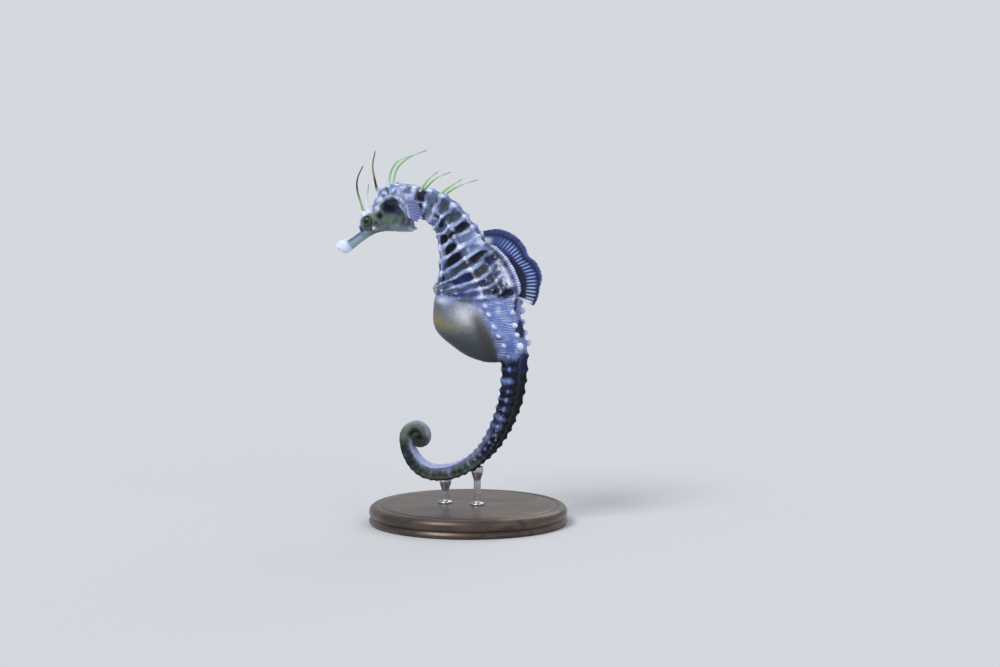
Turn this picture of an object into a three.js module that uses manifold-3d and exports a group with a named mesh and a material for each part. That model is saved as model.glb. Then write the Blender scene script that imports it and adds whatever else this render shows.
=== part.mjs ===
// A life-size display model of a male big-belly seahorse (Hippocampus abdominalis), swimming upright
// with its tail rolled forward, held over a flat round base by two short rods.
//
// Millimetres, +Z up. The head faces -X, the animal's left is -Y, and Y = 0 is its plane of symmetry.
// The origin is the centre of the underside of the base.
//
// The body is built on one course, a chain of arcs down the middle of the animal from the nape to the
// tip of the tail. Sections with ridges stand on that course at every bony ring and between rings.

import * as THREE from 'three';
import { mergeVertices } from 'three/addons/utils/BufferGeometryUtils.js';
import Module from 'manifold-3d';

const wasm = await Module();
wasm.setup();

// ---------------------------------------------------------------- driving dimensions

const GAP = 0.3; // clearance between neighbouring pieces
const DEG = Math.PI / 180;

// The course: start point (x, z), heading below +X in degrees, then arcs as [length, turn in degrees].
const COURSE = {
  start: [-28.28, 136.62],
  heading: 2.56,
  arcs: [
    [10.0, 15.8], [15.32, 39.5], [39.65, 2.6], [25.42, 28.7], [15.17, 16.6], [19.11, 18.0], [17.83, 31.4],
    [11.58, 24.9], [11.3, 53.8], [9.42, 27.0], [6.95, 81.8], [6.25, 86.4], [3.5, 56.1], [4.2, 109.2],
    [3.5, 128.0],
  ],
};
const BODY_LENGTH = COURSE.arcs.reduce((sum, [length]) => sum + length, 0);

// Half sizes of the trunk at stations along the course: [station, up to the back, down to the belly,
// half width, lean of the ring plane in degrees].
const TRUNK = [
  [0, 7.0, 10.4, 4.9, -26.6], [3, 6.7, 9.4, 4.8, -16.3], [6, 6.1, 8.4, 4.7, -6],
  [9, 6.3, 7.1, 4.6, -2.8], [12, 7.0, 6.9, 4.6, -1.5], [20, 7.3, 7.7, 4.9, 0], [25, 7.7, 8.8, 5.5, 0],
  [30, 8.5, 10.7, 6.3, 0], [36, 9.6, 14.2, 7.6, 0], [42, 11.0, 18.6, 9.0, 0], [46, 12.6, 20.3, 9.6, 6.3],
  [50, 13.2, 21.8, 10.0, 12.5], [54.5, 13.0, 23.4, 10.2, 20.2], [59, 11.2, 25.2, 10.0, 27.9],
];
// The same for the tail, with two more columns: [..., twist about the course in degrees, squareness].
const TAIL = [
  [59, 11.1, 9.5, 9.8, 27.9, 0, 0.25], [67, 6.6, 8.5, 8.6, 25.8, 0, 0.35],
  [75, 5.2, 7.0, 7.2, 17.2, 0, 0.55], [83, 4.8, 5.5, 5.6, 8.7, 2, 0.8], [92, 4.2, 4.2, 4.2, 0, 12, 1],
  [104, 3.8, 3.8, 3.8, 0, 12, 1], [116, 3.6, 3.6, 3.6, 0, 8, 1], [130, 3.3, 3.3, 3.3, 0, 0, 1],
  [145, 3.05, 3.05, 3.05, 0, -8, 1], [162, 2.95, 2.95, 2.95, 0, -8, 0.9],
  [171, 2.75, 2.75, 2.75, 0, -4, 0.7], [178, 2.35, 2.35, 2.35, 0, 0, 0.5],
  [184, 2.2, 2.2, 2.2, 0, 0, 0.4], [189, 1.95, 1.95, 1.95, 0, 0, 0.3],
  [193, 1.65, 1.65, 1.65, 0, 0, 0.3], [196, 1.35, 1.35, 1.35, 0, 0, 0.3],
  [198, 1.25, 1.25, 1.25, 0, 0, 0.3], [199.2, 0.65, 0.65, 0.65, 0, 0, 0.3],
];
const TRUNK_END = 59; // station of the last trunk ring
const TRUNK_RINGS = 12;
const TAIL_RING = { first: 4.62, last: 1.38, taperFrom: 91 }; // spacing of the tail rings
const VALLEY = 0.93; // size of a section between two rings, against one on a ring
const FINE_RINGS_FROM = 186; // past here one section per ring is enough

// The head stands on its own axis: t along it from the mouth, h above it.
const HEAD = { mouth: [-57.85, 113.87], pitch: 33.8, sides: 16 };
// Sections of the snout and head: [t top, h top, t bottom, h bottom, half width].
const SNOUT_SECTIONS = [
  [0.4, 1.9, 0.2, 0.3, 0.9], [1.0, 2.6, 0.6, -0.8, 1.6], [2.4, 2.95, 1.4, -2.3, 2.2],
  [3.9, 2.8, 2.8, -3.15, 2.5], [5.6, 2.05, 4.8, -3.2, 2.25], [7.4, 1.55, 7, -3.0, 1.95],
  [9, 1.45, 9, -2.8, 1.8], [11, 1.75, 11, -2.65, 1.8], [13, 2.6, 13, -2.6, 2.0],
];
const HEAD_SECTIONS = [
  [13.3, 2.8, 13.3, -2.6, 2.05], [14.3, 4.2, 14.3, -2.6, 2.5], [15.6, 5.4, 15.6, -2.6, 3.1],
  [17, 6.5, 17, -2.7, 3.7], [18.6, 7.7, 18.4, -2.85, 4.2], [20, 8.2, 19.8, -3.2, 4.4],
  [21.6, 7.9, 21.4, -3.8, 4.4], [23.2, 7.9, 23, -4.6, 4.4], [25, 8.6, 25, -5.9, 4.5],
  [27, 9.6, 27, -7.3, 4.8], [29, 10.2, 28.8, -8.6, 5.0], [31.4, 10.5, 30.8, -9.8, 5.1],
  [34.2, 10.4, 32.6, -10.7, 5.0], [37.4, 9.5, 34.2, -10.6, 4.8],
];
const EYE = { t: 19.5, h: 2.9, side: 3.1, radius: 2.55 };
const GILL = { t: 30.2, h: -0.2, side: 3.7, along: 5.6, across: 6.4, thick: 2.1 };
const CORONET = { front: 29.3, back: 36.2, low: 9.2, rim: 11.7, point: 0.8, half: 2.3, points: 6 };

// Brood pouch: [height z, front x, back x, half width].
const POUCH = [
  [95.4, -14.7, 8, 7.6], [92.5, -15.0, 12, 9.0], [88.5, -15.2, 14, 9.9], [85.2, -15.1, 15, 10.1],
  [82.0, -13.9, 16, 9.8], [79.0, -11.2, 17, 9.0], [76.0, -7.4, 18, 7.9], [73.0, -3.1, 18, 6.4],
  [70.6, 1.9, 17, 4.6], [69.2, 6.6, 15.4, 2.6],
];

// Dorsal fin: course stations of its base, and how far each ray reaches past the base.
const DORSAL_FIN = { from: 38.5, to: 59, thick: 0.6, steps: 20, foot: 2.5 };
// Outer edge of the dorsal fin (x, z) from its front foot over the crest to its last ray.
const DORSAL_EDGE = [
  [6.6, 124.6], [13.6, 125.6], [20.5, 123.2], [25.2, 118.8], [27.0, 115.0], [30.6, 112.0], [32.8, 106.5],
  [31.6, 101.0], [30.6, 96.8], [28.8, 93.7],
];
const ANAL_FIN = {
  thick: 0.6,
  base: [[-9, 103.5], [-9, 96.5]],
  edge: [[-13.6, 102.8], [-15.7, 99.4], [-14.7, 96.6]],
};
const PECTORAL = {
  thick: 0.6,
  base: [[-26.4, 4.2, 137.0], [-22.2, 4.0, 127.4]],
  edge: [
    [-23.0, 6.6, 138.0], [-19.4, 7.4, 136.2], [-18.4, 7.6, 132.6], [-19.2, 7.2, 129.8],
    [-21.2, 6.0, 127.6],
  ],
};

// Skin filaments as [x, y, z] from root to tip.
const FILAMENTS = {
  eye_l: [
    [-44.8, -3.0, 129.5], [-46.0, -3.5, 133.5], [-47.6, -4.5, 140.2], [-47.2, -5.2, 145.5],
    [-44.6, -5.4, 151.0],
  ],
  eye_r: [[-44.8, 3.0, 129.5], [-46.0, 3.5, 133.0], [-46.3, 4.4, 137.0], [-45.8, 4.9, 142.0]],
  coronet_front: [[-40.0, 0, 138.6], [-41.2, 0, 143.5], [-42.3, 0, 150.2], [-41.1, 0, 156.8]],
  coronet_l: [[-34.6, -1.8, 141.0], [-33.3, -2.4, 148.4], [-29.4, -2.9, 153.4], [-23.2, -3.2, 155.6]],
  coronet_r: [[-34.4, 1.8, 141.0], [-32.2, 2.4, 149.2], [-26.8, 2.9, 154.2], [-19.1, 3.2, 157.4]],
  nape_l: [[-21.5, -1.9, 138.8], [-19.0, -2.4, 142.6], [-15.9, -2.8, 146.4], [-12.1, -3.4, 149.2]],
  nape_r: [[-21.5, 1.9, 138.8], [-18.6, 2.4, 142.4], [-14.2, 2.8, 146.2], [-8.6, 3.4, 148.5]],
  neck_l: [[-13.5, -2.0, 137.4], [-9.6, -2.4, 141.1], [-5.5, -2.9, 144.0], [-1.1, -3.5, 146.7]],
  neck_r: [[-13.0, 2.0, 136.6], [-9.2, 2.4, 140.2], [-3.8, 2.9, 143.3], [3.3, 3.5, 145.6]],
};
const FILAMENT = { root: 0.62, tip: 0.3, sides: 6, steps: 8 };

const STAND = {
  baseRadius: 42, baseHeight: 8, edge: 1.2, rodRadius: 1.5, cupRadius: 2.6, cupDepth: 2.2,
  rods: { front: [-10.2, 22], rear: [4, 27] }, // x of each rod, and a height inside the tail above it
};

const COLOURS = {
  bone: 0xc3cdec, dark: 0x2a2f3f, olive: 0x6f776a, pouch: 0xa9aaa4, fin: 0x657fbf, filament: 0x9cc38f,
  eye: 0x3c3a26, tail: 0x3c4560, curl: 0x7f8a86, wood: 0x2b211b, steel: 0xb9bcc0,
};

// ---------------------------------------------------------------- small helpers

const root = new THREE.Group();

function paint(colour, roughness = 0.6, metalness = 0) {
  return new THREE.MeshStandardMaterial({ color: colour, roughness, metalness });
}

function place(name, geometry, material) {
  const mesh = new THREE.Mesh(geometry, material);
  mesh.name = name;
  root.add(mesh);
  return mesh;
}

const lerp = THREE.MathUtils.lerp;

// Reads a table of stations at s with a smooth (cubic) run between its rows.
function readTable(table, s) {
  let k = 0;
  while (k < table.length - 2 && s > table[k + 1][0]) k += 1;
  const [a, b] = [table[k], table[k + 1]];
  const [before, after] = [table[Math.max(k - 1, 0)], table[Math.min(k + 2, table.length - 1)]];
  const span = b[0] - a[0];
  const x = THREE.MathUtils.clamp((s - a[0]) / span, 0, 1);
  return a.slice(1).map((value, column) => {
    const c = column + 1;
    const slopeA = (b[c] - before[c]) / (b[0] - before[0]) * span;
    const slopeB = (after[c] - a[c]) / (after[0] - a[0]) * span;
    const step = b[c] - value;
    return value + x * (slopeA + x * (3 * step - 2 * slopeA - slopeB + x * (slopeA + slopeB - 2 * step)));
  });
}

// Position and heading of the course at station s.
function courseAt(s) {
  let [x, z] = COURSE.start;
  let heading = COURSE.heading * DEG;
  let left = THREE.MathUtils.clamp(s, 0, BODY_LENGTH);
  for (const [length, turn] of COURSE.arcs) {
    const run = Math.min(left, length);
    const radius = length / (turn * DEG);
    const next = heading + run / radius;
    x += radius * (Math.sin(next) - Math.sin(heading));
    z += radius * (Math.cos(next) - Math.cos(heading));
    heading = next;
    left -= run;
    if (left <= 0) break;
  }
  return { x, z, heading };
}

// Closed body through a row of closed sections with the same number of points.
function loft(sections) {
  const sides = sections[0].length;
  const points = sections.flat();
  const index = [];
  for (let i = 0; i + 1 < sections.length; i += 1) {
    for (let j = 0; j < sides; j += 1) {
      const a = i * sides + j;
      const b = i * sides + (j + 1) % sides;
      index.push(a, b, b + sides, a, b + sides, a + sides);
    }
  }
  for (const last of [false, true]) {
    const first = last ? (sections.length - 1) * sides : 0;
    const centre = points.length;
    const ring = last ? sections[sections.length - 1] : sections[0];
    points.push(ring.reduce((sum, p) => sum.add(p), new THREE.Vector3()).divideScalar(sides));
    for (let j = 0; j < sides; j += 1) {
      const pair = [first + j, first + (j + 1) % sides];
      index.push(centre, ...(last ? pair : pair.reverse()));
    }
  }
  const geometry = new THREE.BufferGeometry().setFromPoints(points);
  geometry.setIndex(index);
  return facingOut(geometry);
}

// Turns every face over when the body is inside out.
function facingOut(geometry) {
  const p = geometry.getAttribute('position');
  const index = Array.from(geometry.getIndex().array);
  const [a, b, c] = [new THREE.Vector3(), new THREE.Vector3(), new THREE.Vector3()];
  let volume = 0;
  for (let k = 0; k < index.length; k += 3) {
    a.fromBufferAttribute(p, index[k]);
    b.fromBufferAttribute(p, index[k + 1]);
    c.fromBufferAttribute(p, index[k + 2]);
    volume += a.dot(b.cross(c));
  }
  if (volume < 0) {
    for (let k = 0; k < index.length; k += 3) [index[k], index[k + 1]] = [index[k + 1], index[k]];
    geometry.setIndex(index);
  }
  return geometry;
}

function solid(geometry) {
  const bare = geometry.clone();
  bare.deleteAttribute('normal');
  bare.deleteAttribute('uv');
  const merged = mergeVertices(bare, 1e-4);
  return new wasm.Manifold(new wasm.Mesh({
    numProp: 3,
    vertProperties: new Float32Array(merged.getAttribute('position').array),
    triVerts: new Uint32Array(merged.getIndex().array),
  }));
}

function shape(manifold) {
  const mesh = manifold.getMesh();
  const geometry = new THREE.BufferGeometry();
  geometry.setAttribute('position', new THREE.BufferAttribute(mesh.vertProperties, 3));
  geometry.setIndex(new THREE.BufferAttribute(mesh.triVerts, 1));
  return geometry;
}

// The part of a geometry that lies outside the given solids.
function cutBy(geometry, ...cutters) {
  return shape(cutters.reduce((left, cutter) => left.subtract(cutter), solid(geometry)));
}

// ---------------------------------------------------------------- body sections

// Half of a section as [up share, side share], from the middle of the back down to the keel: the upper
// ridge, the flank, the side ridge, the lower flank, the lower ridge and the keel.
const TRUNK_HALF = [[0.96, 0], [1, 0.45], [0.56, 0.82], [0.06, 1], [-0.44, 0.9], [-0.78, 0.56], [-1, 0]];
const TAIL_HALF = [[0.86, 0], [1, 1], [0.5, 0.93], [0, 0.9], [-0.5, 0.93], [-0.96, 0.95], [-0.86, 0]];
const RIDGES = new Set([1, 3, 5]);

// How far each tubercle of the upper ridge stands out on tail ring number k.
function tubercle(k) {
  if (k < 0 || k > 7) return 0;
  return k === 2 || k === 5 ? 1.3 : 0.6;
}

// Section of the body at station s. onRing is 1 on a ring and 0 between rings.
function bodySection(s, { tail, onRing, ring = -1, clearance = 0 }) {
  const row = readTable(tail ? TAIL : TRUNK, s);
  const [up, down, side, lean, twist = 0, square = 0] = row;
  const { x, z, heading } = courseAt(s);
  const normal = heading + lean * DEG;
  const back = new THREE.Vector3(Math.sin(normal), 0, Math.cos(normal));
  const left = new THREE.Vector3(0, -1, 0);
  const [cos, sin] = [Math.cos(twist * DEG), Math.sin(twist * DEG)];
  const turned = back.clone().multiplyScalar(cos).addScaledVector(left, sin);
  const across = left.clone().multiplyScalar(cos).addScaledVector(back, -sin);
  const half = TRUNK_HALF.map(([u, v], k) => {
    const shrink = onRing ? 1 : RIDGES.has(k) ? VALLEY : lerp(1, VALLEY, 0.5);
    const a = lerp(u, TAIL_HALF[k][0], square) * shrink;
    const b = lerp(v, TAIL_HALF[k][1], square) * shrink;
    const knob = onRing && k === 1 ? tubercle(ring) : 0;
    const reach = Math.hypot(a, b);
    const tall = (a > 0 ? up : down) + (clearance + knob) / reach;
    return [a * tall, b * (side + (clearance + knob * 0.5) / reach)];
  });
  const other = half.slice(1, -1).reverse().map(([u, v]) => [u, -v]);
  return [...half, ...other].map(([u, v]) => (
    new THREE.Vector3(x, 0, z).addScaledVector(turned, u).addScaledVector(across, v)));
}

// Stations of the rings: an even step down the trunk, then a step that shrinks along the tail.
function trunkRings() {
  return Array.from({ length: TRUNK_RINGS + 1 }, (_, k) => TRUNK_END * k / TRUNK_RINGS);
}

function tailRings() {
  const stations = [TRUNK_END];
  while (stations[stations.length - 1] < BODY_LENGTH) {
    const s = stations[stations.length - 1];
    const taper = BODY_LENGTH - TAIL_RING.taperFrom;
    const share = THREE.MathUtils.clamp((s - TAIL_RING.taperFrom) / taper, 0, 1);
    stations.push(s + lerp(TAIL_RING.first, TAIL_RING.last, share));
  }
  return stations;
}

// Length of body between two stations, with a section on every ring and one between rings.
function bodyLength(from, to, { tail = false, clearance = 0 } = {}) {
  const rings = tail ? tailRings() : trunkRings();
  const cuts = [[from, 0.5, -1]];
  rings.forEach((s, k) => {
    cuts.push([s, 1, k]);
    if (k + 1 < rings.length && s < FINE_RINGS_FROM) cuts.push([(s + rings[k + 1]) / 2, 0, k]);
  });
  const inside = cuts.filter(([s], k) => k === 0 || (s > from + 0.6 && s < to - 0.6));
  inside.push([to, 0.5, -1]);
  return loft(inside.map(([s, onRing, ring]) =>
    bodySection(s, { tail, onRing: onRing === 1, ring, clearance })));
}

// ---------------------------------------------------------------- head sections

function headPoint(t, h, y = 0) {
  const [cos, sin] = [Math.cos(HEAD.pitch * DEG), Math.sin(HEAD.pitch * DEG)];
  return new THREE.Vector3(HEAD.mouth[0] + t * cos - h * sin, y, HEAD.mouth[1] + t * sin + h * cos);
}

// Oval section between a top and a bottom point of the head, a little narrower at the throat.
function headSection([tTop, hTop, tBottom, hBottom, side], clearance = 0) {
  return Array.from({ length: HEAD.sides }, (_, k) => {
    const angle = (k / HEAD.sides) * 2 * Math.PI;
    const [up, out] = [Math.cos(angle), Math.sin(angle)];
    const width = (side + clearance) * (up < 0 ? 1 + 0.22 * up : 1);
    const share = (up + 1) / 2;
    const h = lerp(hBottom, hTop, share) + clearance * up;
    return headPoint(lerp(tBottom, tTop, share), h, width * out);
  });
}

function headBody(sections, clearance = 0) {
  return loft(sections.map((section) => headSection(section, clearance)));
}

function ball(centre, radii, segments = 16, rings = 10) {
  const geometry = new THREE.SphereGeometry(1, segments, rings);
  geometry.scale(...radii);
  geometry.rotateY(-HEAD.pitch * DEG);
  geometry.translate(centre.x, centre.y, centre.z);
  return geometry;
}

// Crown on the back of the head: a short block with a dished top and a ring of points.
function coronet(clearance = 0) {
  const middle = (CORONET.front + CORONET.back) / 2;
  const reach = (CORONET.back - CORONET.front) / 2 + clearance;
  const half = CORONET.half + clearance;
  const count = CORONET.points * 2;
  const level = (h, spread, point) => Array.from({ length: count }, (_, k) => {
    const angle = (k / count) * 2 * Math.PI;
    const raised = point * (k % 2 === 0 ? 1 : 0);
    const grow = spread + raised * 0.12;
    return headPoint(middle - reach * grow * Math.cos(angle), h + raised, half * grow * Math.sin(angle));
  });
  return loft([
    level(CORONET.low, 1.02, 0), level(lerp(CORONET.low, CORONET.rim, 0.6), 0.84, 0),
    level(CORONET.rim + clearance, 0.96, CORONET.point), level(CORONET.rim - 0.5 + clearance, 0.6, 0),
  ]);
}

// ---------------------------------------------------------------- fins and filaments

// Thin fin between a base line and an edge line, both given as functions of a share from 0 to 1.
function fin(base, edge, { along, across, thick, bend = () => 0 }) {
  const sections = Array.from({ length: along + 1 }, (_, i) => {
    const share = i / along;
    const [a, b] = [base(share), edge(share)];
    const side = new THREE.Vector3().subVectors(b, a).cross(
      new THREE.Vector3().subVectors(
        base(Math.min(share + 0.02, 1)), base(Math.max(share - 0.02, 0)))).normalize();
    const face = (sign) => Array.from({ length: across + 1 }, (_, j) => {
      const out = j / across;
      const off = bend(share, out) + sign * thick / 2;
      return new THREE.Vector3().lerpVectors(a, b, out).addScaledVector(side, off);
    });
    return [...face(1), ...face(-1).reverse()];
  });
  return loft(sections);
}

// Smooth line through a few hand-placed points.
function line(points) {
  const curve = new THREE.CatmullRomCurve3(points.map((p) => new THREE.Vector3(...p)), false, 'centripetal');
  return (share) => curve.getPoint(THREE.MathUtils.clamp(share, 0, 1));
}

// Tapered filament: round sections carried along a smooth line.
function filament(points) {
  const at = line(points);
  const side = new THREE.Vector3(0, 1, 0);
  return loft(Array.from({ length: FILAMENT.steps + 1 }, (_, i) => {
    const share = i / FILAMENT.steps;
    const centre = at(share);
    const tangent = at(share + 0.02).sub(at(share - 0.02)).normalize();
    const up = new THREE.Vector3().crossVectors(tangent, side).normalize();
    const out = new THREE.Vector3().crossVectors(up, tangent);
    const radius = lerp(FILAMENT.root, FILAMENT.tip, share);
    return Array.from({ length: FILAMENT.sides }, (_, k) => {
      const angle = (k / FILAMENT.sides) * 2 * Math.PI;
      return centre.clone()
        .addScaledVector(up, radius * Math.cos(angle))
        .addScaledVector(out, radius * Math.sin(angle));
    });
  }));
}

// ---------------------------------------------------------------- the pieces

const bone = paint(COLOURS.bone);

function addHead() {
  const gillCentre = (sign) => headPoint(GILL.t, GILL.h, sign * GILL.side);
  const eyeCentre = (sign) => headPoint(EYE.t, EYE.h, sign * EYE.side);
  const gillRadii = (grow) => [GILL.along + grow, GILL.thick + grow, GILL.across + grow];
  const cutters = [-1, 1].flatMap((sign) => [
    solid(ball(eyeCentre(sign), Array(3).fill(EYE.radius + GAP))),
    solid(ball(gillCentre(sign), gillRadii(GAP))),
  ]);
  place('snout', headBody(SNOUT_SECTIONS), bone);
  place('head', cutBy(headBody(HEAD_SECTIONS), ...cutters), bone);
  for (const [side, sign] of [['l', -1], ['r', 1]]) {
    place(`eye_${side}`, ball(eyeCentre(sign), Array(3).fill(EYE.radius)), paint(COLOURS.eye, 0.15));
    place(`gill_cover_${side}`, ball(gillCentre(sign), gillRadii(0)), paint(COLOURS.olive));
  }
  place('coronet', cutBy(coronet(), solid(headBody(HEAD_SECTIONS, GAP))), bone);
}

function addTrunk() {
  place('neck', bodyLength(0.15, 20), bone);
  place('chest', bodyLength(20 + GAP, 39.5), bone);
  place('belly', bodyLength(39.5 + GAP, TRUNK_END), bone);
}

function addTail() {
  const lengths = [
    ['tail_root', TRUNK_END + GAP, 90, COLOURS.bone], ['tail_upper', 90 + GAP, 118, COLOURS.tail],
    ['tail_bend', 118 + GAP, 146, COLOURS.tail], ['tail_rise', 146 + GAP, 170, COLOURS.olive],
    ['tail_curl', 170 + GAP, BODY_LENGTH, COLOURS.curl],
  ];
  for (const [name, from, to, colour] of lengths) {
    place(name, bodyLength(from, to, { tail: true }), paint(colour));
  }
}

// Smooth bag hung in front of the root of the tail.
function pouchBody() {
  return loft(POUCH.map(([z, front, back, half]) => Array.from({ length: 20 }, (_, k) => {
    const angle = (k / 20) * 2 * Math.PI;
    const middle = (front + back) / 2;
    return new THREE.Vector3(middle - (back - front) / 2 * Math.cos(angle), half * Math.sin(angle), z);
  })));
}

function addPouch() {
  const tailRoot = solid(bodyLength(TRUNK_END - 2, 93, { tail: true, clearance: GAP }));
  const belly = solid(bodyLength(39.5, TRUNK_END + GAP, { clearance: GAP }));
  place('pouch', cutBy(pouchBody(), tailRoot, belly), paint(COLOURS.pouch, 0.5));
}

function addFins() {
  const trunk = solid(bodyLength(20, TRUNK_END, { clearance: GAP }));
  const tailRoot = solid(bodyLength(TRUNK_END, 90, { tail: true, clearance: GAP }));
  const backLine = (s) => {
    const [up, , , lean] = readTable(TRUNK, Math.min(s, TRUNK_END));
    const { x, z, heading } = courseAt(s);
    const angle = heading + lean * DEG;
    const high = up - DORSAL_FIN.foot;
    return new THREE.Vector3(x + high * Math.sin(angle), 0, z + high * Math.cos(angle));
  };
  const edge = line(DORSAL_EDGE.map(([x, z]) => [x, 0, z]));
  const sway = (share, out) => 0.7 * Math.sin(share * 2.5 * Math.PI) * out;
  place('dorsal_fin', cutBy(fin((share) => backLine(lerp(DORSAL_FIN.from, DORSAL_FIN.to, share)), edge,
    { along: DORSAL_FIN.steps, across: 3, thick: DORSAL_FIN.thick, bend: sway }), trunk, tailRoot),
  paint(COLOURS.fin, 0.4));

  const flat = (points) => line(points.map(([x, z]) => [x, 0, z]));
  place('anal_fin', cutBy(fin(flat(ANAL_FIN.base), flat(ANAL_FIN.edge),
    { along: 6, across: 2, thick: ANAL_FIN.thick }), trunk, solid(pouchBody())), paint(COLOURS.pouch, 0.4));

  const neck = solid(bodyLength(0, 20, { clearance: GAP }));
  const head = solid(headBody(HEAD_SECTIONS, GAP));
  for (const [side, sign] of [['l', -1], ['r', 1]]) {
    const mirror = (points) => line(points.map(([x, y, z]) => [x, sign * y, z]));
    place(`pectoral_fin_${side}`, cutBy(fin(mirror(PECTORAL.base), mirror(PECTORAL.edge),
      { along: 10, across: 3, thick: PECTORAL.thick }), neck, head), paint(COLOURS.fin, 0.4));
  }
}

function addFilaments() {
  const hosts = [
    solid(headBody(HEAD_SECTIONS, GAP)), solid(bodyLength(0, 39, { clearance: GAP })), solid(coronet(GAP)),
    ...[-1, 1].map((sign) =>
      solid(ball(headPoint(EYE.t, EYE.h, sign * EYE.side), Array(3).fill(EYE.radius + GAP)))),
  ];
  for (const [name, points] of Object.entries(FILAMENTS)) {
    place(`filament_${name}`, cutBy(filament(points), ...hosts), paint(COLOURS.filament, 0.5));
  }
}

function addStand() {
  const { baseRadius, baseHeight, edge, rodRadius, cupRadius, cupDepth, rods } = STAND;
  const profile = [
    [0, 0], [baseRadius - edge * 0.5, 0], [baseRadius, edge * 0.5], [baseRadius, baseHeight - edge],
    [baseRadius - edge, baseHeight], [0, baseHeight],
  ].map(([r, z]) => new THREE.Vector2(r, z));
  const base = new THREE.LatheGeometry(profile, 48).rotateX(Math.PI / 2);
  place('stand_base', shape(solid(base)), paint(COLOURS.wood, 0.5));
  const tail = solid(bodyLength(118, 170, { tail: true, clearance: GAP }));
  for (const [name, [x, top]] of Object.entries(rods)) {
    const outline = [
      [0, baseHeight + GAP], [rodRadius, baseHeight + GAP], [rodRadius, top - cupDepth * 4],
      [cupRadius, top - cupDepth * 2], [cupRadius, top], [0, top],
    ].map(([r, z]) => new THREE.Vector2(r, z));
    const rod = new THREE.LatheGeometry(outline, 20).rotateX(Math.PI / 2).translate(x, 0, 0);
    place(`stand_rod_${name}`, cutBy(rod, tail), paint(COLOURS.steel, 0.35, 1));
  }
}

addHead();
addTrunk();
addTail();
addPouch();
addFins();
addFilaments();
addStand();

export default root;
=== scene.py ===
"""Life-size display model of a male big-belly seahorse (Hippocampus abdominalis) on a low turned base.

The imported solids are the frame. One modelled skin stands for every solid of flesh, and the eyes, the
fins, the skin filaments and the display stand are pieces of their own. Sizes in the classes are in
millimetres and are turned into metres when a piece is made.
"""

import logging
import math
from dataclasses import dataclass, field
from enum import Enum

import bmesh
import bpy
import numpy as np
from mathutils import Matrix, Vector
from mathutils.bvhtree import BVHTree
from mathutils.kdtree import KDTree


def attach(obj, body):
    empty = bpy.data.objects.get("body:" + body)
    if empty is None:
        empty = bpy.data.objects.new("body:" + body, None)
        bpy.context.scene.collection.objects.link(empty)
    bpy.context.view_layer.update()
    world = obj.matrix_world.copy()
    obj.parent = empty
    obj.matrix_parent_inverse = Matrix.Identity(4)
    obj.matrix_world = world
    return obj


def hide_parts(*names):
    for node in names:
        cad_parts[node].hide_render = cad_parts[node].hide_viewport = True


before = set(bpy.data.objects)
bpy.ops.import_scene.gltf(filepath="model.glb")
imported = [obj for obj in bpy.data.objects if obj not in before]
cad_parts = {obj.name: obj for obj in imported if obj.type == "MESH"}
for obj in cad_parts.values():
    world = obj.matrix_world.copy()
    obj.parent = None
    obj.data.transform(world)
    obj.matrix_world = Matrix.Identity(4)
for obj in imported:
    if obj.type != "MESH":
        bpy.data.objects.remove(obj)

LOG = logging.getLogger("seahorse")
DUST_TONE = (0.42, 0.4, 0.37, 1.0)
MM = 0.001
# Points closer than this, in millimetres, are joined.
WELD = 0.002
SEED = 20
HASH_STEPS = np.array([374761393, 668265263, 1442695041])
HASH_SEED = 69069
HASH_MIX = 1274126177
HASH_MASK = 2**32 - 1
Array = np.ndarray
Triple = tuple[float, float, float]
Colour = tuple[float, float, float, float]
Rows = tuple[tuple[float, ...], ...]
Mesh = bpy.types.Mesh
Object = bpy.types.Object
Material = bpy.types.Material
Tree = bpy.types.NodeTree
Node = bpy.types.Node
Socket = bpy.types.NodeSocket


class Tone(Enum):
    """Colours of the animal and its stand, as sRGB values from 0 to 255. Some of them are painted light and
    shade.
    """

    BONE = (226, 233, 254)
    NETWORK = (144, 161, 214)
    PLATE = (68, 80, 110)
    OLIVE = (48, 58, 61)
    GREY = (84, 96, 116)
    NIGHT = (11, 13, 28)
    INK_BLUE = (18, 27, 70)
    BROWN = (52, 52, 56)
    UNDER = (112, 118, 124)
    SNOUT = (82, 106, 140)
    CHEEK = (76, 92, 84)
    CHEEK_PALE = (114, 128, 102)
    MEMBRANE = (78, 72, 76)
    CHIN = (136, 146, 164)
    JAW = (152, 176, 184)
    HIP = (134, 153, 216)
    HIP_LINE = (60, 72, 134)
    POUCH = (102, 107, 115)
    # painted highlight on the pouch's shoulder
    POUCH_HIGHLIGHT = (206, 211, 224)
    # painted shade for the underside of the pouch
    POUCH_LOW_SHADE = (66, 73, 79)
    POUCH_BROWN = (68, 60, 64)
    YELLOW = (138, 127, 68)
    TAIL_BACK = (8, 10, 18)
    TAIL_SIDE = (18, 23, 39)
    TAIL_CREST = (72, 86, 142)
    TAIL_INNER = (164, 174, 214)
    TAIL_OLIVE = (78, 86, 74)
    CURL = (104, 115, 104)
    CURL_END = (34, 36, 28)
    FIN_VEIL = (32, 48, 104)
    FIN_RAY = (156, 184, 238)
    FIN_MARGIN = (60, 78, 140)
    FIN_ROOT = (18, 22, 38)
    PECTORAL = (84, 96, 164)
    PECTORAL_RAY = (214, 220, 248)
    LEAF = (138, 190, 114)
    STALK = (188, 218, 186)
    TIP_DARK = (40, 46, 36)
    IRIS = (62, 70, 58)
    IRIS_GOLD = (84, 84, 60)
    PUPIL = (6, 7, 10)

    @property
    def linear(self) -> Array:
        """The tone as linear red, green and blue."""
        part = np.array(self.value) / 255.0
        return np.where(part <= 0.04045, part / 12.92, ((part + 0.055) / 1.055) ** 2.4)

    @property
    def rgba(self) -> Colour:
        """The tone as an opaque socket value."""
        return (*self.linear.tolist(), 1.0)


# Small maths


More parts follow.
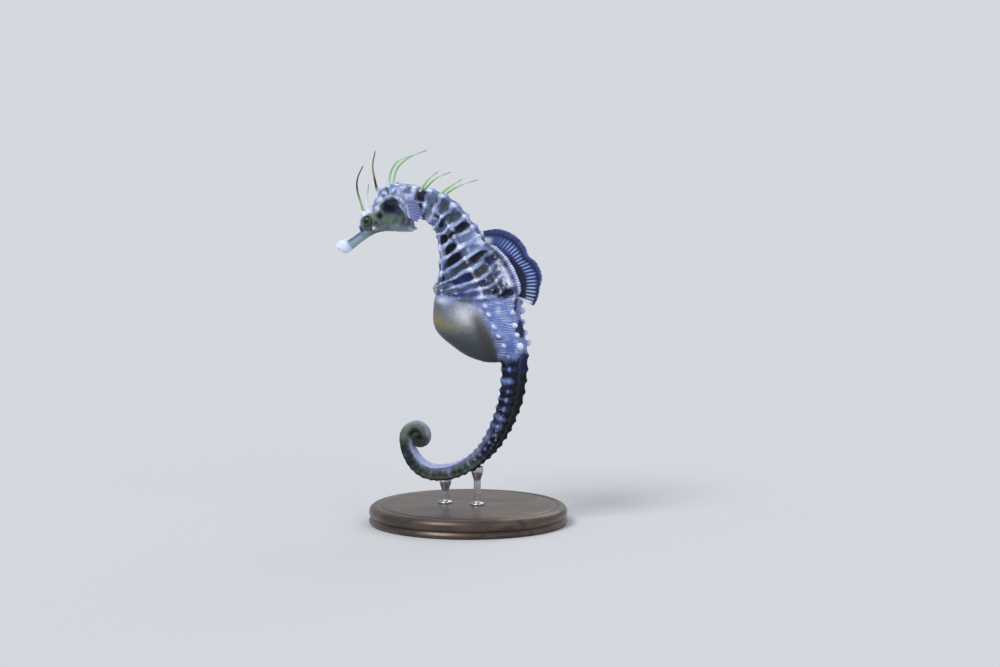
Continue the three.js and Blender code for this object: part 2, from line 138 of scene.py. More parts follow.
def ease(low: float | Array, high: float | Array, value: Array) -> Array:
    """Soft step from 0 where the value is low to 1 where it is high. Low may be the greater of the two."""
    share = np.clip((value - low) / (high - low), 0.0, 1.0)
    return share * share * (3.0 - 2.0 * share)


def bell(value: Array, width: float | Array) -> Array:
    """Soft bump of height 1 round zero, which is down to about a third at the width."""
    return np.exp(-((value / width) ** 2))


def ramp(value: Array, *stops: tuple[float, float]) -> Array:
    """Straight-line runs through (value, result) stops."""
    return np.interp(value, [stop[0] for stop in stops], [stop[1] for stop in stops])


def unit(vectors: Array) -> Array:
    """Directions of length 1 of one vector or of rows of them."""
    return vectors / np.linalg.norm(vectors, axis=-1, keepdims=True)


def turns(count: int) -> Array:
    """Angles of a number of points spread evenly round a circle."""
    return np.arange(count) * 2 * math.pi / count


def all_pairs(first: Array, second: Array) -> list[Array]:
    """Every pair of a first and a second value, as two flat rows."""
    return [grid.ravel() for grid in np.meshgrid(first, second, indexing="ij")]


def spline(a: Array, b: Array, c: Array, d: Array, x: Array) -> Array:
    """Place at share x of the way from b to c, on the smooth curve through all four points."""
    return 0.5 * (2 * b + (c - a) * x + (2 * a - 5 * b + 4 * c - d) * x**2 + (3 * b - a - 3 * c + d) * x**3)


def mottle(points: Array, size: float, seed: int) -> Array:
    """Smooth random values that change over about one size.

    Args:
        points: places, one row each.
        size: spacing of the random values.
        seed: number of the pattern.

    Returns:
        One value between -1 and 1 for each place.
    """
    cell = np.floor(points / size).astype(np.int64)
    part = points / size - cell
    part = part * part * (3.0 - 2.0 * part)
    total = np.zeros(len(points))
    for corner in range(8):
        step = np.array([corner & 1, corner >> 1 & 1, corner >> 2 & 1])
        code = ((cell + step) @ HASH_STEPS + (seed + SEED) * HASH_SEED) & HASH_MASK
        code = ((code ^ (code >> 13)) * HASH_MIX) & HASH_MASK
        value = (code ^ (code >> 16)) / 2.0**31 - 1.0
        total += value * np.prod(np.where(step, part, 1.0 - part), axis=1)
    return total


def through(points: Array, share: Array) -> Array:
    """Smooth curve through a few given points.

    Args:
        points: the points, one row each.
        share: places along the curve, 0 at the first point and 1 at the last.

    Returns:
        One point for each share.
    """
    points = np.asarray(points, float)
    ends = np.vstack([2 * points[0] - points[1], points, 2 * points[-1] - points[-2]])
    place = np.clip(share, 0.0, 1.0) * (len(points) - 1)
    span = np.minimum(place.astype(int), len(points) - 2)
    x = (place - span)[:, None]
    return spline(*(ends[span + step] for step in range(4)), x)


def stations(table: Array, s: Array) -> Array:
    """Reads a table of stations with a smooth run between its rows.

    Args:
        table: rows of station, then sizes.
        s: stations to read.

    Returns:
        The sizes, one row for each station.
    """
    row = np.clip(np.searchsorted(table[:, 0], s, side="right") - 1, 0, len(table) - 2)
    a, b = table[row], table[row + 1]
    before, after = table[np.maximum(row - 1, 0)], table[np.minimum(row + 2, len(table) - 1)]
    span = b[:, :1] - a[:, :1]
    x = np.clip((s[:, None] - a[:, :1]) / span, 0.0, 1.0)
    slope_a = (b - before) / (b[:, :1] - before[:, :1]) * span
    slope_b = (after - a) / (after[:, :1] - a[:, :1]) * span
    step = b - a
    value = a + x * (slope_a + x * (3 * step - 2 * slope_a - slope_b + x * (slope_a + slope_b - 2 * step)))
    return value[:, 1:]


def to_line(points: Array, line: Array) -> Array:
    """Distance from each point to a line of straight runs.

    Args:
        points: the points, one row each.
        line: corners of the line, one row each.

    Returns:
        One distance for each point.
    """
    best = np.full(len(points), np.inf)
    for start, end in zip(line[:-1], line[1:]):
        run = end - start
        share = np.clip((points - start) @ run / (run @ run), 0.0, 1.0)
        best = np.minimum(best, np.linalg.norm(points - start - share[:, None] * run, axis=1))
    return best


# The form of the body


@dataclass(frozen=True)
class Course:
    """Line down the middle of the animal from the nape to the tip of the tail, as a chain of arcs."""

    start: tuple[float, float] = (-28.28, 136.62)
    heading: float = 2.56
    # Length of each arc and the degrees that it turns down by.
    arcs: Rows = (
        (10.0, 15.8), (15.32, 39.5), (39.65, 2.6), (25.42, 28.7), (15.17, 16.6), (19.11, 18.0),
        (17.83, 31.4), (11.58, 24.9), (11.3, 53.8), (9.42, 27.0), (6.95, 81.8), (6.25, 86.4), (3.5, 56.1),
        (4.2, 109.2), (4.9, 179.2))

    @property
    def length(self) -> float:
        """Length of the whole line."""
        return sum(length for length, _ in self.arcs)

    def at(self, s: Array) -> tuple[Array, Array, Array]:
        """Place and heading at each station.

        Args:
            s: stations. Those before the start run back along the first arc.

        Returns:
            x, z and the heading below +X in radians.
        """
        x, z = np.full(len(s), self.start[0]), np.full(len(s), self.start[1])
        heading = np.full(len(s), math.radians(self.heading))
        left = np.minimum(s, self.length)
        for number, (length, turn) in enumerate(self.arcs):
            radius = length / math.radians(turn)
            run = np.minimum(left, length) if number == 0 else np.clip(left, 0.0, length)
            after = heading + run / radius
            x = x + radius * (np.sin(after) - np.sin(heading))
            z = z + radius * (np.cos(after) - np.cos(heading))
            heading, left = after, left - run
        return x, z, heading


@dataclass(frozen=True)
class BodyForm:
    """Sections of the trunk and tail. A place on them is a station and a share round the body.

    The share runs from 0 at the middle of the back over the left side to 1 at the keel, and on over the
    right side to 2. The upper, side and lower ridges lie at shares of 1/6, 1/2 and 5/6 on each side.
    """

    course: Course = Course()
    trunk_end: float = 59.0
    trunk_rings: int = 12
    first_spacing: float = 4.62
    last_spacing: float = 1.338
    taper_from: float = 91.0
    trunk_reach: tuple[float, float] = (-1.5, 58.9)
    tail_reach: tuple[float, float] = (59.0, 200.5)
    tail_root: float = 56.5
    # station, up to the back, down to the belly, half width, lean of the ring, twist, squareness
    trunk: Rows = (
        (0, 7.0, 10.4, 4.9, -26.6, 0, 0), (3, 6.7, 9.4, 4.8, -16.3, 0, 0), (6, 6.1, 8.4, 4.7, -6, 0, 0),
        (9, 6.3, 7.1, 4.6, -2.8, 0, 0), (12, 7.0, 6.9, 4.6, -1.5, 0, 0), (20, 7.3, 7.7, 4.9, 0, 0, 0),
        (25, 7.7, 8.8, 5.5, 0, 0, 0), (30, 8.5, 10.7, 6.3, 0, 0, 0), (36, 9.6, 14.2, 7.6, 0, 0, 0),
        (42, 11.0, 18.6, 9.0, 0, 0, 0), (46, 12.6, 20.3, 9.6, 6.3, 0, 0),
        (50, 13.2, 21.8, 10.0, 12.5, 0, 0), (54.5, 13.0, 23.4, 10.2, 20.2, 0, 0),
        (59, 11.2, 25.2, 10.0, 27.9, 0, 0))
    tail: Rows = (
        (59, 11.1, 9.5, 9.8, 27.9, 0, 0.25), (67, 6.6, 8.5, 8.6, 25.8, 0, 0.35),
        (75, 5.2, 7.0, 7.2, 17.2, 0, 0.55), (83, 4.8, 5.5, 5.6, 8.7, 2, 0.8), (92, 4.2, 4.2, 4.2, 0, 12, 1),
        (104, 3.8, 3.8, 3.8, 0, 12, 1), (116, 3.6, 3.6, 3.6, 0, 8, 1), (130, 3.3, 3.3, 3.3, 0, 0, 1),
        (145, 3.05, 3.05, 3.05, 0, -8, 1), (162, 2.95, 2.95, 2.95, 0, -8, 0.9),
        (171, 2.75, 2.75, 2.75, 0, -4, 0.7), (178, 2.35, 2.35, 2.35, 0, 0, 0.5),
        (184, 2.2, 2.2, 2.2, 0, 0, 0.4), (189, 2.05, 2.05, 2.05, 0, 0, 0.3),
        (193, 1.95, 1.95, 1.95, 0, 0, 0.3), (196.5, 1.8, 1.8, 1.8, 0, 0, 0.3),
        (199.3, 1.5, 1.5, 1.5, 0, 0, 0.3), (200.6, 0.9, 0.9, 0.9, 0, 0, 0.3))
    trunk_half: Rows = ((0.96, 0), (1, 0.45), (0.56, 0.82), (0.06, 1), (-0.44, 0.9), (-0.78, 0.56), (-1, 0))
    tail_half: Rows = ((0.86, 0), (1, 1), (0.5, 0.93), (0, 0.9), (-0.5, 0.93), (-0.96, 0.95), (-0.86, 0))
    # The rings crowd together on the hip: count by length, then the ring that lies there.
    crowding: Rows = (
        (-1, -1), (9, 8.95), (10.14, 10), (11, 11), (11.8, 12), (12.7, 13), (13.63, 14), (14.67, 15),
        (15.7, 16), (16.65, 17), (17.8, 18), (19, 19), (60, 60))

    def ring(self, s: Array) -> Array:
        """Number of the bony ring at each station, with its fraction.

        Args:
            s: stations.

        Returns:
            0 at the first ring of the neck, 12 at the last of the trunk, and on down the tail.
        """
        fall = (self.first_spacing - self.last_spacing) / (self.course.length - self.taper_from)
        spacing = np.maximum(self.first_spacing - fall * np.maximum(s - self.taper_from, 0.0), 0.5)
        even = (np.minimum(s, self.taper_from) - self.trunk_end) / self.first_spacing
        count = self.trunk_rings + even + np.log(self.first_spacing / spacing) / fall
        count = np.where(s < self.trunk_end, s / self.trunk_end * self.trunk_rings, count)
        return ramp(count, *self.crowding)

    def outline(self, half: Rows, around: Array) -> Array:
        """Smooth closed section through the ridges and flanks.

        Args:
            half: up and side shares from the back to the keel.
            around: shares round the body.

        Returns:
            Up and side shares, one row for each place.
        """
        corners = np.array([*half, *((up, -side) for up, side in half[-2:0:-1])])
        place = np.mod(around, 2.0) * (len(half) - 1)
        k = place.astype(int)
        x = (place - k)[:, None]
        return spline(*(corners[(k + step) % len(corners)] for step in (-1, 0, 1, 2)), x)

    def surface(self, s: Array, around: Array, tail: bool) -> Array:
        """Points of the smooth body.

        Args:
            s: stations.
            around: shares round the body.
            tail: whether the tail's sections are used.

        Returns:
            One point for each pair of station and share.
        """
        up, down, side, lean, twist, square = stations(np.array(self.tail if tail else self.trunk), s).T
        x, z, heading = self.course.at(s)
        shares = (1 - square)[:, None] * self.outline(self.trunk_half, around)
        shares += square[:, None] * self.outline(self.tail_half, around)
        high, wide = shares[:, 0] * np.where(shares[:, 0] > 0, up, down), shares[:, 1] * side
        normal, turn = heading + np.radians(lean), np.radians(twist)
        back = np.stack([np.sin(normal), 0 * normal, np.cos(normal)], 1)
        left = np.tile([0.0, -1.0, 0.0], (len(s), 1))
        turned = back * np.cos(turn)[:, None] + left * np.sin(turn)[:, None]
        across = left * np.cos(turn)[:, None] - back * np.sin(turn)[:, None]
        return np.stack([x, 0 * x, z], 1) + turned * high[:, None] + across * wide[:, None]

    def back_line(self, s: Array, sunk: float = 0.0) -> tuple[Array, Array]:
        """Finds the middle of the trunk's back.

        Args:
            s: stations.
            sunk: how far under the back the points lie.

        Returns:
            The points and the unit directions up from them.
        """
        size = stations(np.array(self.trunk), np.clip(s, 0, self.trunk_end - 0.01))
        x, z, heading = self.course.at(s)
        angle = heading + np.radians(size[:, 3])
        up = np.stack([np.sin(angle), 0 * x, np.cos(angle)], 1)
        return np.stack([x, 0 * x, z], 1) + (size[:, :1] - sunk) * up, up

    def rows(self, first: float, last: float, step: float, sides: int, tail: bool) -> tuple[Array, ...]:
        """Grid of body points.

        Args:
            first: station of the first row.
            last: station of the last row.
            step: distance between rows.
            sides: points round each row.
            tail: whether the tail's sections are used.

        Returns:
            The points as rows, the stations and the shares round the body.
        """
        s = np.linspace(first, last, int((last - first) / step) + 1)
        around = np.arange(sides) * 2.0 / sides
        return self.surface(*all_pairs(s, around), tail).reshape(len(s), sides, 3), s, around


class Lofted:
    """Form that runs smoothly through a few given sections."""

    sections: Rows

    def section(self, row: Array, angle: Array) -> Array:
        """Points of the section of one row of sizes, at the angles round it."""
        raise NotImplementedError

    def rows(self, count: int, sides: int) -> Array:
        """Works out the form's points.

        Args:
            count: number of rows.
            sides: points round each row.

        Returns:
            The points, as rows.
        """
        fine = through(np.array(self.sections), np.linspace(0.0, 1.0, count))
        return np.array([self.section(row, turns(sides)) for row in fine])


@dataclass(frozen=True)
class HeadForm(Lofted):
    """Sections of the head on its own axis: t along it from the mouth, h above it."""

    mouth: tuple[float, float] = (-57.85, 113.87)
    pitch: float = 33.8
    # t and h of the top, t and h of the bottom, half width
    sections: Rows = (
        (0.4, 1.9, 0.2, 0.3, 0.9), (1.0, 2.6, 0.6, -0.8, 1.6), (2.4, 2.95, 1.4, -2.3, 2.2),
        (3.9, 2.8, 2.8, -3.15, 2.5), (5.6, 2.05, 4.8, -3.2, 2.25), (7.4, 1.55, 7, -3.0, 1.95),
        (9, 1.45, 9, -2.8, 1.8), (11, 1.75, 11, -2.65, 1.8), (13.3, 2.8, 13.3, -2.6, 2.05),
        (14.3, 4.2, 14.3, -2.6, 2.5), (15.6, 5.4, 15.6, -2.6, 3.1), (17, 6.3, 17, -2.7, 3.6),
        (18.6, 7.3, 18.4, -2.85, 4.0), (20, 7.7, 19.8, -3.2, 4.2), (21.6, 7.6, 21.4, -3.8, 4.3),
        (23.2, 7.8, 23, -4.6, 4.3), (25, 8.6, 25, -5.9, 4.4), (27, 9.6, 27, -7.3, 4.7),
        (29, 10.2, 28.8, -8.6, 4.9), (31.4, 10.5, 30.8, -9.8, 5.0), (34.2, 10.4, 32.6, -10.7, 5.0),
        (37.4, 9.5, 34.2, -10.6, 4.7))

    def world(self, places: Array) -> Array:
        """Turns places on the head into points.

        Args:
            places: t, h and y, one row each.

        Returns:
            x, y and z, one row each.
        """
        cos, sin = math.cos(math.radians(self.pitch)), math.sin(math.radians(self.pitch))
        t, h, y = np.asarray(places, float).T
        return np.stack([self.mouth[0] + t * cos - h * sin, y, self.mouth[1] + t * sin + h * cos], 1)

    def places(self, points: Array) -> Array:
        """Turns points into places on the head.

        Args:
            points: x, y and z, one row each.

        Returns:
            t, h and y, one row each.
        """
        cos, sin = math.cos(math.radians(self.pitch)), math.sin(math.radians(self.pitch))
        x, z = points[:, 0] - self.mouth[0], points[:, 2] - self.mouth[1]
        return np.stack([x * cos + z * sin, z * cos - x * sin, points[:, 1]], 1)

    def section(self, row: Array, angle: Array) -> Array:
        """Works out an oval section, a little narrower at the throat.

        Args:
            row: the sizes of the section.
            angle: angles round it.

        Returns:
            The points.
        """
        t_top, h_top, t_bottom, h_bottom, half = row
        up, out = np.cos(angle), np.sin(angle)
        share = (up + 1) / 2
        width = half * np.where(up < 0, 1 + 0.22 * up, 1.0) * np.sign(out) * np.abs(out) ** 0.9
        t, h = t_bottom + (t_top - t_bottom) * share, h_bottom + (h_top - h_bottom) * share
        return self.world(np.stack([t, h, width], 1))


@dataclass(frozen=True)
class PouchForm(Lofted):
    """Smooth brood pouch below the belly: height z, front x, back x and half width of its sections.

    Its first two sections run up inside the belly, so that the two fuse.
    """

    sections: Rows = (
        (101.5, -9.0, 2, 4.0), (98.6, -12.6, 6, 6.4), (95.4, -14.7, 8, 7.6), (92.5, -15.0, 12, 9.0),
        (88.5, -15.2, 14, 9.9), (85.2, -15.1, 15, 10.1), (82.0, -13.9, 16, 9.8), (79.0, -11.2, 17, 9.0),
        (76.0, -7.4, 18, 7.9), (73.0, -3.1, 18, 6.4), (70.6, 1.9, 17, 4.6), (69.2, 6.6, 15.4, 2.6))

    def section(self, row: Array, angle: Array) -> Array:
        """Works out a level oval section.

        Args:
            row: the sizes of the section.
            angle: angles round it.

        Returns:
            The points.
        """
        z, front, back, half = row
        x = (front + back) / 2 - (back - front) / 2 * np.cos(angle)
        return np.stack([x, half * np.sin(angle), np.full(len(angle), z)], 1)


# Meshes


def closed_faces(rows: int, sides: int, first: int = 0) -> list[tuple[int, ...]]:
    """Faces of a row of closed sections with both ends shut.

    Args:
        rows: number of sections.
        sides: points in each section.
        first: number of the first point.

    Returns:
        The faces.
    """
    row, side = all_pairs(np.arange(rows - 1), np.arange(sides))
    a, b = first + row * sides + side, first + row * sides + (side + 1) % sides
    faces = [tuple(face) for face in np.stack([a, b, b + sides, a + sides], 1).tolist()]
    end = first + (rows - 1) * sides
    return [*faces, tuple(range(first + sides - 1, first - 1, -1)), tuple(range(end, end + sides))]


def weld(mesh: Mesh) -> None:
    """Joins points that fall on one another, which also drops faces without area.

    Args:
        mesh: the mesh, in metres.
    """
    work = bmesh.new()
    work.from_mesh(mesh)
    bmesh.ops.remove_doubles(work, verts=work.verts, dist=WELD * MM)
    work.to_mesh(mesh)
    work.free()


def settle(mesh: Mesh) -> None:
    """Shades a closed mesh smoothly and turns its faces outwards.

    Args:
        mesh: the mesh, in metres.
    """
    mesh.polygons.foreach_set("use_smooth", np.full(len(mesh.polygons), True))
    mesh.calc_loop_triangles()
    corners = np.empty(len(mesh.loop_triangles) * 3, np.int32)
    mesh.loop_triangles.foreach_get("vertices", corners)
    points = np.empty(len(mesh.vertices) * 3)
    mesh.vertices.foreach_get("co", points)
    a, b, c = points.reshape(-1, 3)[corners.reshape(-1, 3)].transpose(1, 0, 2)
    if np.einsum("ij,ij->i", a, np.cross(b, c)).sum() < 0:
        mesh.flip_normals()


def show(name: str, data: bpy.types.ID) -> Object:
    """Puts a mesh, a lamp or a camera in the scene.

    Args:
        name: name of the object.
        data: the mesh, lamp or camera.

    Returns:
        The object.
    """
    shown = bpy.data.objects.new(name, data)
    bpy.context.scene.collection.objects.link(shown)
    return shown


def new_piece(name: str, rows: Array) -> Object:
    """Makes a closed object, with both ends shut.

    Args:
        name: name of the object.
        rows: its points in millimetres as rows, one closed section each.

    Returns:
        The object, in the scene.
    """
    mesh = bpy.data.meshes.new(name)
    mesh.from_pydata((rows.reshape(-1, 3) * MM).tolist(), [], closed_faces(*rows.shape[:2]))
    mesh.update()
    settle(mesh)
    return show(name, mesh)


def give_colours(mesh: Mesh, name: str, colours: Array) -> None:
    """Stores a linear colour for each point of a mesh."""
    layer = mesh.attributes.new(name, "FLOAT_COLOR", "POINT")
    layer.data.foreach_set("color", np.column_stack([colours, np.ones(len(colours))]).ravel())


def give_values(mesh: Mesh, name: str, values: Array) -> None:
    """Stores a number for each point of a mesh."""
    layer = mesh.attributes.new(name, "FLOAT", "POINT")
    layer.data.foreach_set("value", np.asarray(values, np.float32))


@dataclass
class Piece:
    """What ties a finished object to the frame: its body, the solids it stands for and its finish."""

    body: str = "root"

    def tie(self, piece: Object, material: Material, nodes: list[str], slot: str) -> None:
        """Gives a piece its finish, lets it ride on the model and stand for its solids.

        Args:
            piece: the object.
            material: its finish.
            nodes: names of the solids that it replaces.
            slot: name of a material slot; not used.
        """
        piece.data.materials.append(material)
        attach(piece, self.body)
        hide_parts(*nodes)
        LOG.info("%s: %d faces, for %s", piece.name, len(piece.data.polygons), ", ".join(nodes))


@dataclass
class Clay:
    """Rough closed lumps in millimetres that are fused into one body."""

    voxel: float = 0.25
    cone_sides: int = 16
    points: list[Array] = field(default_factory=list)
    faces: list[tuple[int, ...]] = field(default_factory=list)

    def add(self, rows: Array) -> None:
        """Adds a lump of closed sections.

        Args:
            rows: points as rows, one closed section each.
        """
        first = sum(len(points) for points in self.points)
        self.faces += closed_faces(*rows.shape[:2], first)
        self.points.append(rows.reshape(-1, 3))

    def add_cone(self, base: Array, tip: Array, wide: float, narrow: float) -> None:
        """Adds a round-ended cone.

        Args:
            base: middle of its foot.
            tip: middle of its end.
            wide: radius at the foot.
            narrow: radius at the end.
        """
        axis = unit(tip - base)
        side = unit(np.cross(axis, [0.0, 1.0, 0.0] if abs(axis[1]) < 0.8 else [1.0, 0.0, 0.0]))
        other = np.cross(axis, side)
        angle = turns(self.cone_sides)
        circle = np.cos(angle)[:, None] * side + np.sin(angle)[:, None] * other
        rows = []
        for share in np.linspace(-0.15, 1.0, 10):
            radius = (wide + (narrow - wide) * max(share, 0.0)) * (1.0 if share > -0.1 else 0.5)
            rows.append(base + (tip - base) * share + radius * circle)
        rows.append(tip + axis * narrow * 0.6 + narrow * 0.6 * circle)
        self.add(np.array(rows))

    def fuse(self) -> Mesh:
        """Fuses the lumps.

        Returns:
            One closed mesh of even small faces, in millimetres.
        """
        mesh = bpy.data.meshes.new("clay")
        mesh.from_pydata(np.vstack(self.points).tolist(), [], self.faces)
        lump = show("clay", mesh)
        modifier = lump.modifiers.new("fuse", "REMESH")
        modifier.mode = "VOXEL"
        modifier.voxel_size = self.voxel
        graph = bpy.context.evaluated_depsgraph_get()
        fused = bpy.data.meshes.new_from_object(lump.evaluated_get(graph))
        bpy.data.objects.remove(lump)
        bpy.data.meshes.remove(mesh)
        return fused


class Surface:
    """Points of a fine mesh that are relaxed and pushed before they are put back."""

    def __init__(self, mesh: Mesh) -> None:
        """Reads the points and edges of a mesh.

        Args:
            mesh: the mesh, in millimetres.
        """
        self.mesh = mesh
        flat = np.empty(len(mesh.vertices) * 3, np.float32)
        mesh.vertices.foreach_get("co", flat)
        self.points = flat.reshape(-1, 3).astype(float)
        pairs = np.empty(len(mesh.edges) * 2, np.int32)
        mesh.edges.foreach_get("vertices", pairs)
        self.one, self.other = pairs.reshape(-1, 2).T
        self.count = np.bincount(self.one, minlength=len(self.points)) + np.bincount(
            self.other, minlength=len(self.points))

    def relax(self, weight: Array | float, rounds: int) -> None:
        """Draws each point towards the middle of its neighbours.

        Args:
            weight: share of the way, for all points or each.
            rounds: how many times.
        """
        size = len(self.points)
        weight = np.broadcast_to(weight, size)
        for _ in range(rounds):
            for axis in range(3):
                value = self.points[:, axis]
                total = np.bincount(self.one, value[self.other], size)
                total += np.bincount(self.other, value[self.one], size)
                self.points[:, axis] = value + weight * (total / self.count - value)

    def smooth(self, rounds: int) -> None:
        """Takes the steps out of the surface and keeps its size.

        Args:
            rounds: how many times.
        """
        for _ in range(rounds):
            self.relax(0.5, 1)
            self.relax(-0.53, 1)

    def normals(self) -> Array:
        """Puts the points back in the mesh.

        Returns:
            The outward direction at each point.
        """
        self.mesh.vertices.foreach_set("co", self.points.astype(np.float32).ravel())
        self.mesh.update()
        flat = np.empty(len(self.points) * 3, np.float32)
        self.mesh.vertex_normals.foreach_get("vector", flat)
        return flat.reshape(-1, 3).astype(float)

    def push(self, height: Array) -> None:
        """Moves each point along its own outward direction."""
        self.points += self.normals() * height[:, None]


# Node trees


class Graph:
    """Short hand for filling a node tree."""

    def __init__(self, tree: Tree) -> None:
        """Takes the tree to fill."""
        self.tree = tree

    def node(self, kind: str, inputs: dict[str | int, object] | None = None, **settings: object) -> Node:
        """Adds a node.

        Args:
            kind: type of the node, without the leading ShaderNode.
            inputs: values or sockets for its inputs, by name or number.
            settings: properties of the node.

        Returns:
            The node.
        """
        node = self.tree.nodes.new(kind if kind.startswith("NodeGroup") else "ShaderNode" + kind)
        for name, value in settings.items():
            setattr(node, name, value)
        for key, value in (inputs or {}).items():
            self.feed(node.inputs[key], value)
        return node

    def feed(self, socket: Socket, value: object) -> None:
        """Feeds an input.

        Args:
            socket: the input.
            value: the socket that it is linked to, or the value that it is set to.
        """
        if isinstance(value, Socket):
            self.tree.links.new(value, socket)
        else:
            socket.default_value = value

    def sum(self, kind: str, first: object, second: object) -> Socket:
        """Works out one number from two numbers or sockets, by the kind of sum that a Math node does."""
        return self.node("Math", {0: first, 1: second}, operation=kind).outputs[0]

    def times(self, first: object, second: object) -> Socket:
        """Multiplies two numbers or sockets."""
        return self.sum("MULTIPLY", first, second)

    def range(self, value: object, low: float, high: float, to_low: float = 0.0,
              to_high: float = 1.0) -> Socket:
        """Carries a number that runs from low to high to another range, with a soft run."""
        inputs = {0: value, 1: low, 2: high, 3: to_low, 4: to_high}
        return self.node("MapRange", inputs, interpolation_type="SMOOTHSTEP").outputs[0]

    def blend(self, share: object, first: object, second: object, kind: str = "MIX") -> Socket:
        """Mixes a share of a second colour into a first."""
        return self.node("Mix", {0: share, 6: first, 7: second}, data_type="RGBA", blend_type=kind).outputs[2]

    def shaded(self, tone: object, level: Socket) -> Socket:
        """Multiplies a colour by a number."""
        grey = self.node("CombineColor", {0: level, 1: level, 2: level}).outputs[0]
        return self.blend(1.0, tone, grey, "MULTIPLY")

    def place(self) -> Socket:
        """Place on the object in metres."""
        return self.node("TexCoord").outputs["Object"]

    def stretched(self, scale: Triple) -> Socket:
        """Place on the object, each axis times its own scale."""
        return self.node("Mapping", {"Vector": self.place(), "Scale": scale}).outputs[0]

    def noise(self, place: Socket, scale: object, **inputs: float) -> Socket:
        """Cloudy noise at a place, with the scale and other inputs of the Noise node."""
        return self.node("TexNoise", {"Vector": place, "Scale": scale, **inputs}).outputs["Fac"]

    def stored(self, name: str, output: str = "Fac") -> Socket:
        """What the mesh holds at each point under a name."""
        return self.node("Attribute", attribute_name=name).outputs[output]


class Finish(Graph):
    """Node tree of a material, round its one shader."""

    def __init__(self, name: str) -> None:
        """Makes the material.

        Args:
            name: name of the material.
        """
        self.material = bpy.data.materials.new(name)
        self.material.use_nodes = True
        super().__init__(self.material.node_tree)
        self.shader = self.tree.nodes["Principled BSDF"]

    def set(self, title: str, value: object) -> None:
        """Links an input of the shader to a socket, or sets it to a value."""
        self.feed(self.shader.inputs[title], value)

    def bump(self, height: Socket, strength: float, distance: float) -> None:
        """Gives the shader a fine relief, with its distance in metres."""
        relief = self.node("Bump", {"Strength": strength, "Distance": distance, "Height": height})
        self.set("Normal", relief.outputs[0])

    def wear(self, group: Tree, tone: Socket, cell: float, dust: float, rough: float) -> None:
        """Sets the shader's colour and roughness by way of the light wear group.

        Args:
            group: the light wear group.
            tone: colour without wear.
            cell: number of clouds of wear in a metre.
            dust: how much dust has settled.
            rough: roughness without wear.
        """
        worn = self.node("Group", {"Tone": tone, "Cell": cell, "Dust": dust}, node_tree=group)
        self.set("Base Color", worn.outputs["Color"])
        self.set("Roughness", self.sum("ADD", worn.outputs["Dulling"], rough))


def new_group(name: str, inputs: dict[str, float | None],
              outputs: dict[str, str]) -> tuple[Graph, Node, Node]:
    """Starts a shader node group.

    Args:
        name: name of the group.
        inputs: its inputs, each with a starting number, or None for a colour.
        outputs: its outputs, each with "Color" or "Float".

    Returns:
        Its graph, and its input and output nodes.
    """
    tree = bpy.data.node_groups.new(name, "ShaderNodeTree")
    for title, value in inputs.items():
        kind = "NodeSocketColor" if value is None else "NodeSocketFloat"
        socket = tree.interface.new_socket(title, in_out="INPUT", socket_type=kind)
        if value is not None:
            socket.default_value = value
    for title, kind in outputs.items():
        tree.interface.new_socket(title, in_out="OUTPUT", socket_type="NodeSocket" + kind)
    graph = Graph(tree)
    return graph, graph.node("NodeGroupInput"), graph.node("NodeGroupOutput")


def living_skin_group() -> Tree:
    """Wet living skin: cloudy tone, pale and dark specks, and a fine grain.

    Returns:
        The group. Its cell is the number of clouds in a metre.
    """
    inputs = {"Tone": None, "Cell": 900.0, "Cloud": 0.3, "Pale Specks": 0.3, "Dark Specks": 0.3}
    outputs = {"Color": "Color", "Height": "Float", "Sheen Mask": "Float"}
    graph, start, end = new_group("living_skin", inputs, outputs)
    place, cell = graph.place(), start.outputs["Cell"]
    swing = graph.sum("SUBTRACT", graph.noise(place, cell, Detail=5.0, Roughness=0.62), 0.5)
    level = graph.sum("ADD", graph.times(graph.times(swing, start.outputs["Cloud"]), 2.0), 1.0)
    tone = graph.shaded(start.outputs["Tone"], level)

    grains = graph.node("TexVoronoi", {"Vector": place, "Scale": graph.times(cell, 3.1), "Randomness": 1.0})
    dot = graph.range(grains.outputs["Distance"], 0.34, 0.16)
    pick = graph.noise(place, graph.times(cell, 0.7), Detail=2.0)
    pale = graph.times(dot, graph.range(pick, 0.52, 0.66))
    dark = graph.times(dot, graph.range(pick, 0.46, 0.34))
    pale_tone = graph.blend(0.6, tone, Tone.BONE.rgba)
    tone = graph.blend(graph.times(pale, start.outputs["Pale Specks"]), tone, pale_tone)
    dark_tone = graph.blend(0.75, tone, Tone.NIGHT.rgba)
    tone = graph.blend(graph.times(dark, start.outputs["Dark Specks"]), tone, dark_tone)

    grain = graph.noise(place, graph.times(cell, 2.2), Detail=4.0)
    graph.feed(end.inputs["Color"], tone)
    graph.feed(end.inputs["Height"], graph.sum("ADD", graph.times(grain, 0.7), graph.times(dot, 0.3)))
    graph.feed(end.inputs["Sheen Mask"], grain)
    return graph.tree


def worn_group() -> Tree:
    """Light handling wear: cloudy dulling and fine dust that settles on faces that look up.

    Returns:
        The group.
    """
    graph, start, end = new_group(
        "light_wear", {"Tone": None, "Cell": 60.0, "Dust": 0.2}, {"Color": "Color", "Dulling": "Float"})
    cloud = graph.noise(graph.place(), start.outputs["Cell"], Detail=6.0)
    up = graph.node("SeparateXYZ", {0: graph.node("NewGeometry").outputs["Normal"]}).outputs[2]
    settled = graph.times(graph.range(up, 0.5, 1.0), graph.range(cloud, 0.4, 0.7, 0.2, 1.0))
    dust = graph.times(settled, start.outputs["Dust"])
    graph.feed(end.inputs["Color"], graph.blend(dust, start.outputs["Tone"], DUST_TONE))
    graph.feed(end.inputs["Dulling"], graph.sum("ADD", graph.range(cloud, 0.35, 0.65, 0.0, 0.12), dust))
    return graph.tree


